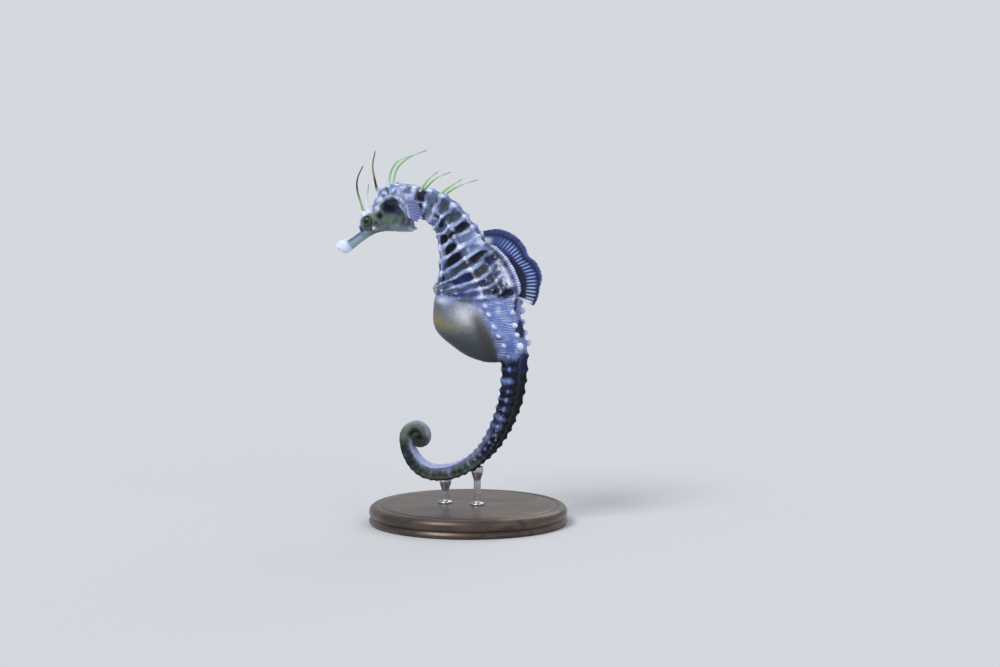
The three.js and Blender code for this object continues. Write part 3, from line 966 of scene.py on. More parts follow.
@dataclass(frozen=True)
class Wet:
    """Finish of living tissue, whose tone lies on its mesh."""

    name: str
    cell: float
    cloud: float
    pale_specks: float
    dark_specks: float
    rough: float
    coat: float
    grain_depth: float
    gloss: float = 0.25
    see_through: bool = False
    speck_mask: bool = False
    coat_rough: float = 0.18

    def make(self, group: Tree) -> Material:
        """Makes the material.

        Args:
            group: the living skin group.

        Returns:
            The material.
        """
        finish = Finish(self.name)
        specks = {"Pale Specks": self.pale_specks, "Dark Specks": self.dark_specks}
        if self.speck_mask:
            mask = finish.stored("speck")
            specks = {title: finish.times(mask, amount) for title, amount in specks.items()}
        inputs = {"Tone": finish.stored("tone", "Color"), "Cell": self.cell, "Cloud": self.cloud, **specks}
        skin = finish.node("Group", inputs, node_tree=group)
        finish.set("Base Color", skin.outputs["Color"])
        rough = finish.range(skin.outputs["Sheen Mask"], 0.3, 0.7, self.rough - 0.08, self.rough + 0.1)
        finish.set("Roughness", rough)
        finish.set("Specular IOR Level", self.gloss)
        finish.set("Coat Weight", self.coat)
        finish.set("Coat Roughness", self.coat_rough)
        finish.bump(skin.outputs["Height"], 0.6, self.grain_depth * MM)
        if self.see_through:
            finish.set("Alpha", finish.stored("body"))
        return finish.material


# The skin


@dataclass(frozen=True)
class Mark:
    """Coloured spot of the skin: its place, its half sizes the same two ways, its tone and its strength.

    On the body the two ways are rings and the share round the body, and on the head they are t and h.
    """

    along: float
    across: float
    half_along: float
    half_across: float
    tone: Tone
    strength: float = 1.0


@dataclass(frozen=True)
class Ridge:
    """Raised line on both sides of the head as places t, h and distance from the middle."""

    line: Rows
    width: float
    height: float
    shine: float


class BodyMap:
    """Finds the place on the trunk and tail that lies nearest to a point."""

    def __init__(self, form: BodyForm) -> None:
        """Samples the form.

        Args:
            form: the trunk and tail.
        """
        parts: list[list[Array]] = [[], [], [], [], []]
        girths: list[tuple[Array, Array]] = []
        samples = ((*form.trunk_reach, 0.45, 96, False), (*form.tail_reach, 0.4, 72, True))
        for sample in samples:
            grid, s, around = form.rows(*sample)
            along = np.gradient(grid, s, axis=0)
            turn = around[1] - around[0]
            over = (np.roll(grid, -1, 1) - np.roll(grid, 1, 1)) / (2 * turn)
            s_all, around_all = np.meshgrid(s, around, indexing="ij")
            for store, values in zip(parts, (grid, along, over, s_all[..., None], around_all[..., None])):
                store.append(values.reshape(-1, values.shape[-1]))
            run = np.linalg.norm(np.roll(grid, -1, 1) - grid, axis=2).sum(axis=1) / 2
            girths.append((s, run))
        self.grid, self.along, self.over, self.s, self.around = (np.vstack(part) for part in parts)
        self.girth_at = np.concatenate([s for s, _ in girths])
        self.girth = np.concatenate([run for _, run in girths])

    def place(self, nearest: Array, points: Array) -> tuple[Array, Array]:
        """Works out station and share round the body.

        Args:
            nearest: number of the nearest sample to each point.
            points: the points.

        Returns:
            The stations and the shares, 0 to 2.
        """
        along, over, off = self.along[nearest], self.over[nearest], points - self.grid[nearest]
        a, b, c = ((one * two).sum(1) for one, two in ((along, along), (along, over), (over, over)))
        d, e = (along * off).sum(1), (over * off).sum(1)
        size = a * c - b * b
        s = self.s[nearest, 0] + np.clip((d * c - b * e) / size, -0.6, 0.6)
        around = self.around[nearest, 0] + np.clip((a * e - b * d) / size, -0.05, 0.05)
        return s, np.mod(around, 2.0)


def nearest_of(samples: Array, points: Array) -> tuple[Array, Array]:
    """Nearest sample to each point.

    Args:
        samples: the samples, one row each.
        points: the points, one row each.

    Returns:
        Number of the nearest sample and distance to it.
    """
    tree = KDTree(len(samples))
    for number, sample in enumerate(samples.tolist()):
        tree.insert(sample, number)
    tree.balance()
    found = [tree.find(point)[1:] for point in points.tolist()]
    return np.array([number for number, _ in found]), np.array([distance for _, distance in found])


class Coat:
    """Colour of every point, laid on in layers."""

    def __init__(self, count: int, tone: Tone) -> None:
        """Starts with one even tone."""
        self.colours = np.tile(tone.linear, (count, 1))
        self.marked = np.zeros(count)

    def lay(self, share: Array, tone: Tone) -> None:
        """Lays a tone over each point by its share."""
        self.colours += np.clip(share, 0, 1)[:, None] * (tone.linear - self.colours)

    def mark(self, share: Array) -> None:
        """Notes where a blotch lies, so that later layers keep off it."""
        self.marked = np.maximum(self.marked, np.clip(share, 0, 1))

    def merge(self, share: Array, other: "Coat") -> None:
        """Lays another coat over this one by the share at each point."""
        self.colours += share[:, None] * (other.colours - self.colours)
        self.marked += share * (other.marked - self.marked)


@dataclass
class Skin(Piece):
    """The one skin over head, trunk, pouch and tail, with its relief, its markings and some painted light and
    shade.
    """

    form: BodyForm = BodyForm()
    head: HeadForm = HeadForm()
    pouch: PouchForm = PouchForm()
    voxel: float = 0.25
    eye: tuple[float, float] = (19.5, 2.9)
    eye_rim: float = 2.75
    gill: Triple = (30.2, -0.2, 3.7)
    gill_radii: Triple = (5.6, 6.4, 2.1)
    coronet: tuple[float, float, float, float] = (29.3, 36.2, 9.2, 11.7)
    coronet_half: float = 2.3
    crown_sides: int = 48
    gill_sides: int = 40
    fin_base_sides: int = 32
    # Blunt spines of the brow, cheek, throat and nape: foot and tip on the head, then the two radii.
    spines: tuple[tuple[Triple, Triple, float, float], ...] = (
        ((20.4, 5.0, 2.8), (19.6, 7.5, 4.3), 1.7, 0.6), ((20.2, -0.9, 3.4), (20.5, -1.4, 5.0), 0.9, 0.3),
        ((33.0, -9.4, 2.2), (33.9, -10.5, 2.5), 1.0, 0.5), ((36.4, 9.2, 1.4), (38.3, 10.3, 1.9), 1.1, 0.4))
    # Foot of each filament: how deep it starts, how far it stands up, then the two radii.
    socket: tuple[float, ...] = (1.4, 0.7, 1.25, 0.8)
    fin_foot: tuple[float, float] = (38.5, 59.0)
    fin_beads: int = 27
    fin_base_high: float = 2.4
    slant: float = 3.9
    finish: Wet = Wet("seahorse_skin", cell=820.0, cloud=0.4, pale_specks=0.35, dark_specks=0.3, rough=0.46,
                      coat=0.06, grain_depth=0.14, gloss=0.1, speck_mask=True, coat_rough=0.42)
    nodes: tuple[str, ...] = (
        "snout", "head", "coronet", "gill_cover_l", "gill_cover_r", "neck", "chest", "belly", "tail_root",
        "pouch", "tail_upper", "tail_bend", "tail_rise", "tail_curl")
    ridges: tuple[Ridge, ...] = (
        Ridge(((21.4, 7.4, 2.4), (25.0, 8.8, 1.9), (29.2, 11.0, 1.6)), 0.5, 0.5, 0.9),
        Ridge(((16.0, 4.6, 2.9), (17.6, 6.2, 3.2), (20.6, 6.6, 3.8), (22.9, 5.2, 4.1)), 0.6, 0.45, 0.8),
        Ridge(((26.6, 5.0, 4.4), (28.8, 6.5, 4.6), (31.9, 7.1, 4.7), (35.0, 6.0, 4.8), (36.8, 3.6, 5.0)),
              0.45, 0.35, 0.55),
        Ridge(((14.4, 0.2, 2.6), (17.8, -1.4, 3.9), (20.4, -1.0, 4.4)), 0.45, 0.25, 0.3),
        Ridge(((37.9, 2.6, 5.0), (38.0, -1.5, 5.0), (36.6, -6.6, 4.7)), 0.5, 0.55, 1.0),
        Ridge(((35.9, 1.0, 5.2), (35.9, -3.1, 5.2), (35.1, -6.4, 4.8)), 0.4, 0.3, 0.7),
        Ridge(((29.0, -8.3, 1.8), (32.0, -10.2, 1.6), (34.4, -10.6, 1.4)), 0.5, 0.1, 0.5),
        Ridge(((5.5, 2.2, 0.5), (9.0, 1.6, 0.5), (13.0, 2.8, 0.6)), 0.5, 0.1, 0.7),
    )
    # Spots of the head. Each is laid over the ones before it.
    head_marks: tuple[Mark, ...] = (
        Mark(26.8, -1.6, 4.4, 2.3, Tone.CHEEK_PALE, 0.35), Mark(23.0, 2.6, 1.0, 2.0, Tone.CHEEK_PALE, 0.6),
        Mark(26.4, 5.3, 1.3, 1.2, Tone.BONE, 0.5), Mark(29.3, 8.0, 1.3, 0.9, Tone.BONE, 0.7),
        Mark(29.6, -5.6, 3.2, 1.2, Tone.CHIN, 0.6), Mark(22.6, -2.6, 2.4, 0.9, Tone.CHIN, 0.6),
        Mark(14.8, 1.5, 0.9, 1.8, Tone.BROWN, 0.95), Mark(19.0, -0.6, 1.0, 0.7, Tone.BROWN, 0.85),
        Mark(22.3, 0.6, 0.8, 0.9, Tone.OLIVE, 0.85), Mark(16.9, 1.6, 0.7, 1.2, Tone.OLIVE, 0.7),
        Mark(25.8, 2.0, 1.9, 1.5, Tone.OLIVE, 0.7), Mark(26.0, 2.0, 1.3, 1.1, Tone.NIGHT, 0.9),
        Mark(32.2, 2.9, 4.1, 3.8, Tone.INK_BLUE, 0.65), Mark(32.1, 3.3, 3.1, 3.0, Tone.NIGHT, 1.0),
        Mark(34.4, -0.8, 2.3, 2.2, Tone.INK_BLUE, 0.7), Mark(32.2, -3.6, 2.8, 1.7, Tone.CHEEK, 0.5),
        Mark(34.2, -6.6, 2.6, 1.9, Tone.MEMBRANE, 0.7), Mark(34.4, -7.6, 1.0, 0.8, Tone.BROWN, 0.5),
        Mark(37.4, 6.8, 1.1, 1.0, Tone.OLIVE, 0.85), Mark(33.8, 9.2, 0.7, 1.5, Tone.OLIVE, 0.8),
        Mark(35.5, 6.4, 0.8, 0.8, Tone.GREY, 0.7), Mark(31.3, 8.2, 0.9, 0.7, Tone.OLIVE, 0.6),
        Mark(24.6, 6.4, 0.5, 1.5, Tone.OLIVE, 0.6), Mark(28.0, 5.6, 0.6, 1.1, Tone.OLIVE, 0.5))
    # Blotches of the trunk, also in order. Share 0 is the middle of the back, 1 the middle of the belly.
    blotches: tuple[Mark, ...] = (
        Mark(0.62, 0.30, 0.24, 0.05, Tone.OLIVE, 0.5), Mark(1.78, 0.33, 0.42, 0.11, Tone.NIGHT),
        Mark(2.48, 0.34, 0.3, 0.08, Tone.GREY, 0.7), Mark(3.25, 0.31, 0.34, 0.09, Tone.OLIVE, 0.8),
        Mark(3.55, 0.42, 0.24, 0.06, Tone.OLIVE, 0.7), Mark(4.1, 0.32, 0.3, 0.07, Tone.OLIVE, 0.8),
        Mark(4.72, 0.31, 0.3, 0.1, Tone.OLIVE, 0.9), Mark(5.6, 0.31, 0.38, 0.13, Tone.NIGHT),
        Mark(6.51, 0.33, 0.3, 0.08, Tone.GREY, 0.5), Mark(7.6, 0.32, 0.3, 0.07, Tone.OLIVE, 0.75),
        Mark(8.45, 0.33, 0.36, 0.12, Tone.NIGHT), Mark(9.05, 0.22, 0.36, 0.08, Tone.INK_BLUE, 0.9),
        Mark(9.45, 0.36, 0.3, 0.07, Tone.BROWN, 0.8), Mark(9.6, 0.28, 0.28, 0.05, Tone.GREY, 0.7),
        Mark(10.45, 0.45, 0.34, 0.05, Tone.NIGHT, 0.8), Mark(10.6, 0.37, 0.32, 0.05, Tone.OLIVE, 0.7),
        Mark(10.75, 0.26, 0.34, 0.05, Tone.OLIVE, 0.75), Mark(11.55, 0.33, 0.34, 0.07, Tone.NIGHT),
        Mark(11.4, 0.19, 0.44, 0.08, Tone.NIGHT), Mark(1.84, 0.56, 0.26, 0.05, Tone.INK_BLUE, 0.7),
        Mark(2.76, 0.62, 0.34, 0.08, Tone.UNDER, 0.7), Mark(3.5, 0.55, 0.26, 0.05, Tone.NIGHT, 0.85),
        Mark(4.2, 0.54, 0.22, 0.04, Tone.NIGHT, 0.7), Mark(4.35, 0.62, 0.26, 0.06, Tone.NIGHT, 0.95),
        Mark(4.7, 0.7, 0.28, 0.06, Tone.OLIVE, 0.4), Mark(5.75, 0.53, 0.28, 0.06, Tone.NIGHT, 0.85),
        Mark(5.65, 0.7, 0.34, 0.09, Tone.NIGHT), Mark(6.5, 0.52, 0.28, 0.05, Tone.GREY, 0.6),
        Mark(6.65, 0.62, 0.34, 0.09, Tone.NIGHT), Mark(7.6, 0.61, 0.36, 0.11, Tone.NIGHT),
        Mark(7.6, 0.49, 0.28, 0.04, Tone.GREY, 0.6), Mark(8.5, 0.51, 0.3, 0.06, Tone.BROWN, 0.85),
        Mark(8.55, 0.62, 0.3, 0.06, Tone.BROWN, 0.5), Mark(9.55, 0.58, 0.34, 0.1, Tone.INK_BLUE, 0.95),
        Mark(9.6, 0.47, 0.3, 0.045, Tone.BROWN, 0.85), Mark(8.55, 0.82, 0.24, 0.05, Tone.NIGHT, 0.9),
        Mark(9.2, 0.7, 0.22, 0.04, Tone.NIGHT, 0.7), Mark(7.65, 0.77, 0.24, 0.045, Tone.INK_BLUE, 0.7),
        Mark(9.85, 0.79, 0.2, 0.05, Tone.OLIVE, 0.7), Mark(10.35, 0.7, 0.24, 0.05, Tone.GREY, 0.8),
        Mark(10.9, 0.79, 0.24, 0.06, Tone.OLIVE, 0.8), Mark(11.4, 0.69, 0.26, 0.07, Tone.INK_BLUE, 0.45),
        Mark(10.5, 0.56, 0.3, 0.06, Tone.GREY, 0.4), Mark(5.85, 0.49, 0.3, 0.07, Tone.NIGHT, 0.85),
        Mark(5.4, 0.72, 0.3, 0.06, Tone.NIGHT, 0.8), Mark(10.4, 0.47, 0.26, 0.05, Tone.BROWN, 0.8),
        Mark(11.6, 0.2, 0.5, 0.17, Tone.NIGHT, 0.75), Mark(11.1, 0.12, 0.3, 0.04, Tone.NIGHT, 0.8),
        Mark(11.15, 0.31, 0.24, 0.04, Tone.BROWN, 0.7), Mark(9.5, 0.9, 0.3, 0.06, Tone.UNDER, 0.6))
    # Ring and share round the body of the pale patches under the fin, and their reach each way.
    pale_patches: Rows = (
        (10.2, 0.18, 1.1, 0.09), (9.4, 0.12, 0.5, 0.05), (7.1, 0.18, 0.6, 0.1), (8.1, 0.1, 0.5, 0.08))
    # Ring and strength of the violet bands across the tail.
    tail_bands: Rows = ((18, 0.35), (20, 0.75), (24, 0.6), (25, 0.35), (31, 0.55), (34, 0.7), (37, 0.25))
    # Dark saddles over the back of the tail.
    saddles: tuple[Mark, ...] = (
        Mark(15.6, 0.0, 0.7, 0.13, Tone.INK_BLUE, 0.95), Mark(18.5, 0.0, 0.7, 0.2, Tone.INK_BLUE, 0.9))

    def build(self, group: Tree) -> Object:
        """Makes the skin.

        Args:
            group: the living skin group.

        Returns:
            The finished piece.
        """
        surface = Surface(self.clay().fuse())
        body = BodyMap(self.form)
        nearest, body_off = nearest_of(body.grid, surface.points)
        head_off = nearest_of(self.head.rows(120, 56).reshape(-1, 3), surface.points)[1]
        pouch_off = nearest_of(self.pouch.rows(60, 60).reshape(-1, 3), surface.points)[1]
        surface.smooth(3)
        t, h, _ = self.head.places(surface.points).T
        reach = np.hypot((t - self.gill[0]) / self.gill_radii[0], (h - self.gill[1]) / self.gill_radii[1])
        gill_edge = 0.7 * bell(reach - 0.92, 0.3) * ease(3.0, 1.0, head_off)
        neck_seam = 0.6 * bell(head_off, 2.0) * bell(body_off, 2.0)
        pouch_seam = 0.8 * bell(pouch_off, 3.6) * bell(body_off, 3.6)
        for weight, rounds in ((gill_edge, 14), (neck_seam, 16), (pouch_seam, 70)):
            surface.relax(weight, rounds)

        s, around = body.place(nearest, surface.points)
        self.points = surface.points.copy()
        nearer = ease(1.1, -1.1, head_off - body_off - 0.5 + 0.5 * self.noise(1.6, 54))
        before_neck = ease(37.0, 35.4, t + 0.5 * self.noise(1.6, 61)) * (h > -7)
        self.on_head = np.maximum(nearer, before_neck) * ease(20.0, 8.0, s)
        self.on_pouch = ease(1.2, -1.2, pouch_off - body_off) * (s > 40) * (self.points[:, 2] < 97)
        self.on_body = np.clip(1 - self.on_head - self.on_pouch, 0, 1)
        self.s, self.ring, self.share = s, self.form.ring(s), np.where(around > 1, 2 - around, around)
        self.right = around > 1
        self.girth = np.interp(s, body.girth_at, body.girth)
        self.place = self.head.places(self.points)
        self.place[:, 2] = np.abs(self.place[:, 2])

        self.measure_lines()
        surface.push(self.relief())
        colours = self.paint()

        mesh = surface.mesh
        mesh.vertices.foreach_set("co", (surface.points * MM).astype(np.float32).ravel())
        mesh.update()
        mesh.name = "seahorse_skin"
        settle(mesh)
        mesh.materials.clear()
        give_colours(mesh, "tone", colours)
        give_values(mesh, "speck", self.speck)
        piece = show(mesh.name, mesh)
        self.tie(piece, self.finish.make(group), list(self.nodes), "trunk_skin")
        return piece

    def noise(self, size: float, seed: int) -> Array:
        """Smooth random value at each point of the skin."""
        return mottle(self.points, size, seed)

    def clay(self) -> Clay:
        """Lays out the lumps of the body.

        Returns:
            The lumps, ready to be fused.
        """
        clay = Clay(self.voxel)
        clay.add(self.form.rows(*self.form.trunk_reach, 0.5, 96, False)[0])
        clay.add(self.form.rows(self.form.tail_root, self.form.tail_reach[1], 0.4, 64, True)[0])
        clay.add(self.head.rows(150, 64))
        clay.add(self.pouch.rows(60, 72))
        clay.add(self.crown())
        clay.add(self.fin_base())
        for side in (-1, 1):
            clay.add(self.gill_cover(side))
            for base, tip, wide, narrow in self.spines:
                ends = self.head.world(np.array([base, tip]) * [1, 1, side])
                clay.add_cone(*ends, wide, narrow)
        deep, proud, wide, narrow = self.socket
        for _, _, path in Filaments().paths:
            root, after = np.array(path[0]), np.array(path[1])
            along = unit(after - root)
            clay.add_cone(root - deep * along, root + proud * along, wide, narrow)
        self.add_knobs(clay)
        return clay

    def add_knobs(self, clay: Clay) -> None:
        """Sets blunt knobs on the ridges of the hip, the tallest on the upper ridge.

        Args:
            clay: the lumps of the body.
        """
        s = np.linspace(50.0, 110.0, 600)
        for share, first, last, tall in ((1 / 6, 13, 17, 0.8), (0.6, 12, 17, 0.2)):
            for ring in range(first, last + 1):
                station = np.interp(ring, self.form.ring(s), s)
                rise = tall * (1.35 if ring == 14 else 1.0)
                for around in (share, 2 - share):
                    root = self.form.surface(np.array([station]), np.array([around]), True)[0]
                    x, z, heading = (value[0] for value in self.form.course.at(np.array([station])))
                    away = root - np.array([x, 0.0, z])
                    away = unit(unit(away) + 0.6 * np.array([math.sin(heading), 0.0, math.cos(heading)]))
                    clay.add_cone(root - 0.6 * away, root + rise * away, 1.25, 0.55)

    def crown(self) -> Array:
        """Rows of the coronet, a low crown with six blunt points.

        Returns:
            The points, as rows.
        """
        front, back, low, rim = self.coronet
        middle, reach, half = (front + back) / 2, (back - front) / 2, self.coronet_half
        angle = turns(self.crown_sides)
        point = ease(-0.2, 1.0, np.cos(6 * angle))
        rows = []
        outline = ((low, 1.05, 0), (low + 0.9, 0.92, 0.1), (low + 1.7, 0.86, 0.4), (rim, 0.96, 1),
                   (rim - 0.1, 0.82, 0.85), (rim - 0.5, 0.6, 0.1), (rim - 0.55, 0.2, 0))
        for h, spread, raised in outline:
            grow = spread + 0.12 * raised * point
            t, y = middle - reach * grow * np.cos(angle), half * grow * np.sin(angle)
            rows.append(self.head.world(np.stack([t, h + 0.75 * raised * point, y], 1)))
        return np.array(rows)

    def fin_base(self) -> Array:
        """Rows of the fleshy ridge that carries the dorsal fin.

        Returns:
            The points, as rows.
        """
        first, last = self.fin_foot
        s = np.linspace(first - 1.2, last - 0.1, 60)
        back, up = self.form.back_line(s)
        rise = np.minimum(ease(first - 1.5, first + 4, s), ease(last + 0.6, last - 2.5, s))
        angle = turns(self.fin_base_sides)
        high, wide = self.fin_base_high * rise, 0.7 + 0.5 * rise
        centre = back + (0.2 * high - 0.6)[:, None] * up
        side = np.array([0.0, 1.0, 0.0])
        tall = (0.8 * high + 0.6)[:, None, None] * np.cos(angle)[None, :, None] * up[:, None]
        return centre[:, None] + tall + wide[:, None, None] * np.sin(angle)[None, :, None] * side

    def gill_cover(self, side: int) -> Array:
        """Rows of the bulge of one gill cover.

        Args:
            side: -1 for the left and 1 for the right.

        Returns:
            The points, as rows.
        """
        t, h, y = self.gill
        along, across, thick = self.gill_radii
        angle = turns(self.gill_sides)
        rows = []
        for turn in np.linspace(0.08, math.pi - 0.08, 30):
            size = math.sin(turn)
            rows.append(self.head.world(np.stack([
                np.full(len(angle), t - along * math.cos(turn)), h + across * size * np.cos(angle),
                side * y + thick * size * np.sin(angle)], 1)))
        return np.array(rows)

    def measure_lines(self) -> None:
        """Works out how near each point lies to a ring, a long ridge, a knob or a bead of the fin's foot."""
        s, girth, share = self.s, self.girth, self.share
        slant = self.slant * ramp(s, (34, 0), (40, 0.3), (44, 0.85), (47, 1), (58, 1), (70, 0))
        along = s + slant * ease(0.5, 0.2, share)
        ring = self.line_ring = self.form.ring(along)
        spacing = 0.2 / np.maximum(self.form.ring(along + 0.1) - self.form.ring(along - 0.1), 0.01)
        fine = ramp(s, (0, 0.85), (30, 1.0), (91, 1.0), (180, 0.5))
        wander = fine * (0.7 * self.noise(5.0, 1) + 0.35 * self.noise(2.0, 14))
        uneven = fine * (1 + 0.45 * self.noise(2.6, 15))
        bow = 0.5 * np.sin(math.pi * (3 * share - 0.5)) ** 2 * ease(0, 20, s) * ease(75, 55, s)
        off_ring = (ring - np.round(ring)) * spacing + wander - bow
        hip_side = ramp(ring, (11, 0.5), (12.7, 0.56), (14.5, 0.62), (15.5, 0.64), (16.5, 0.61), (18, 0.5))
        self.off_ridge = np.min([np.abs(share - place) * girth for place in (1 / 6, hip_side, 5 / 6)], axis=0)
        off_minor = np.min([np.abs(share - place) * girth for place in (0.315, 0.68)], axis=0)
        minor = ease(38, 48, s) * ease(62, 58, s)
        keel = ease(0.95, 0.8, share) * ease(45, 55, s) + ease(55, 45, s)
        self.crest = bell(off_ring, 1.0 * uneven) * np.clip(keel + 0.35, 0, 1)
        gaps = 0.45 + 0.55 * ease(-0.2, 0.35, self.noise(2.2, 48))
        self.long_ridge = gaps * bell(self.off_ridge + 0.9 * wander, 0.95 * uneven)
        self.minor_ridge = 0.75 * gaps * minor * bell(off_minor - 1.2 * wander, 0.7 * uneven)
        wide = ramp(s, (0, 0.9), (30, 1.25), (56, 1.25), (62, 1.35), (95, 1.35), (140, 0.95), (180, 0.6))
        self.knob = bell(np.hypot(off_ring, self.off_ridge), wide * (1 + 0.3 * self.noise(6.0, 16)))
        self.knob = np.maximum(self.knob, 0.85 * minor * bell(np.hypot(off_ring, off_minor), 1.0))
        beads = 0.5 + 0.5 * np.cos(2 * math.pi * share * girth / 1.15 + 2 * wander)
        self.beading = 0.7 + 0.3 * beads
        foot, end = self.fin_foot
        bead = 0.5 + 0.5 * np.cos(2 * math.pi * (s - foot) / (end - foot) * self.fin_beads)
        on_foot = ease(foot - 2.5, foot + 1, s) * ease(end + 0.8, end - 0.5, s)
        back, up = self.form.back_line(s)
        self.over_back = ((self.points - back) * up).sum(1)
        rim = np.hypot(self.over_back - 0.5 * self.fin_base_high, np.abs(self.points[:, 1]) - 0.95)
        self.fin_bead = bell(rim, 0.75) * (0.2 + 0.8 * bead) * on_foot * (s > 30)
        self.lines = 1 - (1 - self.crest) * (1 - 0.8 * self.long_ridge) * (1 - self.minor_ridge)
        belly = np.maximum(ease(49, 57, s) * ease(0.5, 0.66, share), ease(44, 52, s) * ease(0.7, 0.84, share))
        self.lines *= 1 - 0.8 * belly

    def relief(self) -> Array:
        """Height of the relief over the smooth body.

        Returns:
            One height in millimetres for each point.
        """
        s = self.s
        depth = ramp(s, (-2, 0.25), (6, 0.45), (20, 0.55), (45, 0.65), (56, 0.5), (62, 0.16), (84, 0.2),
                     (92, 0.45), (118, 0.5), (146, 0.42), (168, 0.2), (184, 0))
        tall = ramp(s, (-2, 0.1), (6, 0.3), (25, 0.45), (45, 0.5), (57, 0.6), (62, 0.75), (84, 0.7),
                    (92, 0.5), (118, 0.45), (146, 0.25), (170, 0.05), (182, 0))
        upper = ease(0.26, 0.2, self.share)
        tall = tall + upper * (0.55 * bell(self.ring - 14, 0.4) + 0.55 * bell(self.ring - 17, 0.4))
        tall = tall + 0.4 * upper * ease(2, 8, s) * ease(40, 34, s)
        tall = tall + 0.4 * ease(0.7, 0.8, self.share) * ease(88, 94, s) * ease(150, 130, s)
        height = -depth * (1 - self.lines * self.beading) + tall * self.knob + 0.4 * self.fin_bead
        drift = 1.1 * self.noise(4.0, 2) + 0.3 * self.noise(1.6, 59)
        ripple = np.sin(2 * math.pi * (self.points[:, 2] + drift) / 0.88)
        on_hip = ease(56, 62, s) * ease(93, 86, s)
        self.ripple = ripple * on_hip * (1 - self.knob)
        height += 0.05 * self.ripple
        height *= self.on_body
        height += self.on_head * self.head_relief() + self.on_pouch * self.pouch_relief()
        return height + 0.03 * self.noise(0.9, 3)

    def head_relief(self) -> Array:
        """Height of the eye rim, the ridges and the gill cover's edge on the head.

        Returns:
            One height in millimetres for each point.
        """
        t, h, y = self.place.T
        away = np.hypot(t - self.eye[0], h - self.eye[1])
        flank = ease(1.6, 2.6, y)
        height = flank * (0.5 * bell(away - self.eye_rim, 0.5) - 1.5 * ease(2.35, 1.5, away))
        self.ridge_shine = np.zeros(len(t))
        flat = np.array([1.0, 1.0, 0.35])
        for ridge in self.ridges:
            line = through(np.array(ridge.line), np.linspace(0, 1, 9))
            near = bell(to_line(self.place * flat, line * flat), ridge.width)
            height += ridge.height * near
            self.ridge_shine = np.maximum(self.ridge_shine, ridge.shine * near)
        height += 0.6 * bell(np.hypot(t - 14.1, h - 3.9), 0.75) * ease(1.8, 1.0, y)
        reach = np.hypot((t - self.gill[0]) / self.gill_radii[0], (h - self.gill[1]) / self.gill_radii[1])
        rear = ease(29, 33, t)
        height -= 0.35 * rear * bell((reach - 1.04) * 6, 0.45)
        turn = np.arctan2(h - self.gill[1], t - self.gill[0] + 3.5)
        height += 0.05 * np.sin(turn * 34) * ease(1.0, 0.75, reach) * ease(0.2, 0.5, reach) * ease(1, -1, h)
        height -= 0.22 * bell(t - 1.0 - 0.28 * (h + 0.4), 0.22) * (t < 3)
        return height + (0.1 * self.noise(1.4, 4) + 0.05 * self.noise(0.7, 44)) * ease(10, 16, t)

    def pouch_relief(self) -> Array:
        """Height of the soft folds where the pouch meets the hip.

        Returns:
            One height in millimetres for each point.
        """
        x, _, z = self.points.T
        rear = ease(0.0, 9.0, x - 0.12 * (95 - z))
        fold = np.sin(2 * math.pi * (x + 0.25 * z + 0.6 * self.noise(4.0, 5)) / 1.5)
        return 0.07 * rear * fold + 0.12 * self.noise(5.0, 6)

    def paint(self) -> Array:
        """Lays the tones on in layers.

        Returns:
            One linear colour for each point.
        """
        coat = Coat(len(self.points), Tone.NETWORK)
        self.paint_trunk(coat)
        self.paint_hip(coat)
        self.paint_tail(coat)
        self.paint_pouch(coat)
        self.paint_head(coat)
        self.speck = (1 - 0.97 * self.on_pouch) * (1 - 0.9 * coat.marked)
        return coat.colours

    def paint_trunk(self, coat: Coat) -> None:
        """Plates, blotches, pale network and white knobs, and painted shade on the front of the trunk.

        Args:
            coat: the skin's coat.
        """
        s, share, ring = self.s, self.share, self.ring
        edge = s + 2.0 * self.noise(3.0, 25)
        trunk = ease(63, 57, edge)
        ragged = self.lines + 0.2 * self.noise(1.3, 52)
        plate = 1 - ease(0.2, 0.84, ragged)
        pale_plate = bell((ring - 7.3) / 1.4, 1.0) * bell((share - 0.25) / 0.14, 1.0)
        band = np.digitize(share, [1 / 6, 1 / 2, 5 / 6])
        cell = np.stack([np.floor(self.line_ring), band, self.right], 1) * 7.3
        luck = 0.5 + 0.5 * mottle(cell, 5.1, 7)
        calm_belly = 1 - 0.5 * ease(49, 57, s) * ease(0.6, 0.75, share)
        trunk_plate = trunk * ease(1, 7, s) * (1 - 0.85 * pale_plate) * calm_belly
        broken = 1 - 0.5 * ease(0.0, 0.6, self.noise(2.6, 57)) * ease(44, 50, s)
        coat.lay((0.85 + 0.3 * self.noise(2.4, 17)) * plate * trunk_plate * broken, Tone.PLATE)
        middle = ease(0.62, 0.08, ragged)
        dark = ease(0.25, 0.75, luck + 0.35 * self.noise(1.5, 26))
        coat.lay(0.9 * middle * trunk_plate * dark * broken, Tone.OLIVE)
        moss = ease(0.1, 0.7, self.noise(6.0, 33)) * ease(45, 35, s)
        coat.lay(0.5 * middle * trunk_plate * moss, Tone.CHEEK)
        # painted shade: the front of the trunk darker, as though turned away from the light
        coat.lay(0.3 * ease(0.6, 0.8, share) * ease(12, 20, s) * trunk, Tone.PLATE)
        under = ease(0.8, 0.9, share) * ease(28, 20, s)
        coat.lay(0.6 * under * trunk, Tone.UNDER)
        soft = 0.35 * self.noise(1.6, 8) + 0.15 * self.noise(0.6, 9)
        side_shift = np.where(self.right, 0.02 * np.sin(ring * 2.1), 0.0)
        for blotch in self.blotches:
            mask = blotch.strength * self.blotch_mask(blotch, share + side_shift, soft)
            coat.lay(mask * (0.65 + 0.35 * plate), blotch.tone)
            coat.mark(mask)
        frost = 0.5 + 0.5 * self.noise(3.4, 18) + 0.25 * self.noise(1.0, 19)
        pale = ease(0.3, 0.92, self.lines * self.beading) * (1 - 0.85 * coat.marked)
        coat.lay((0.5 + 0.5 * frost) * pale * trunk, Tone.NETWORK)
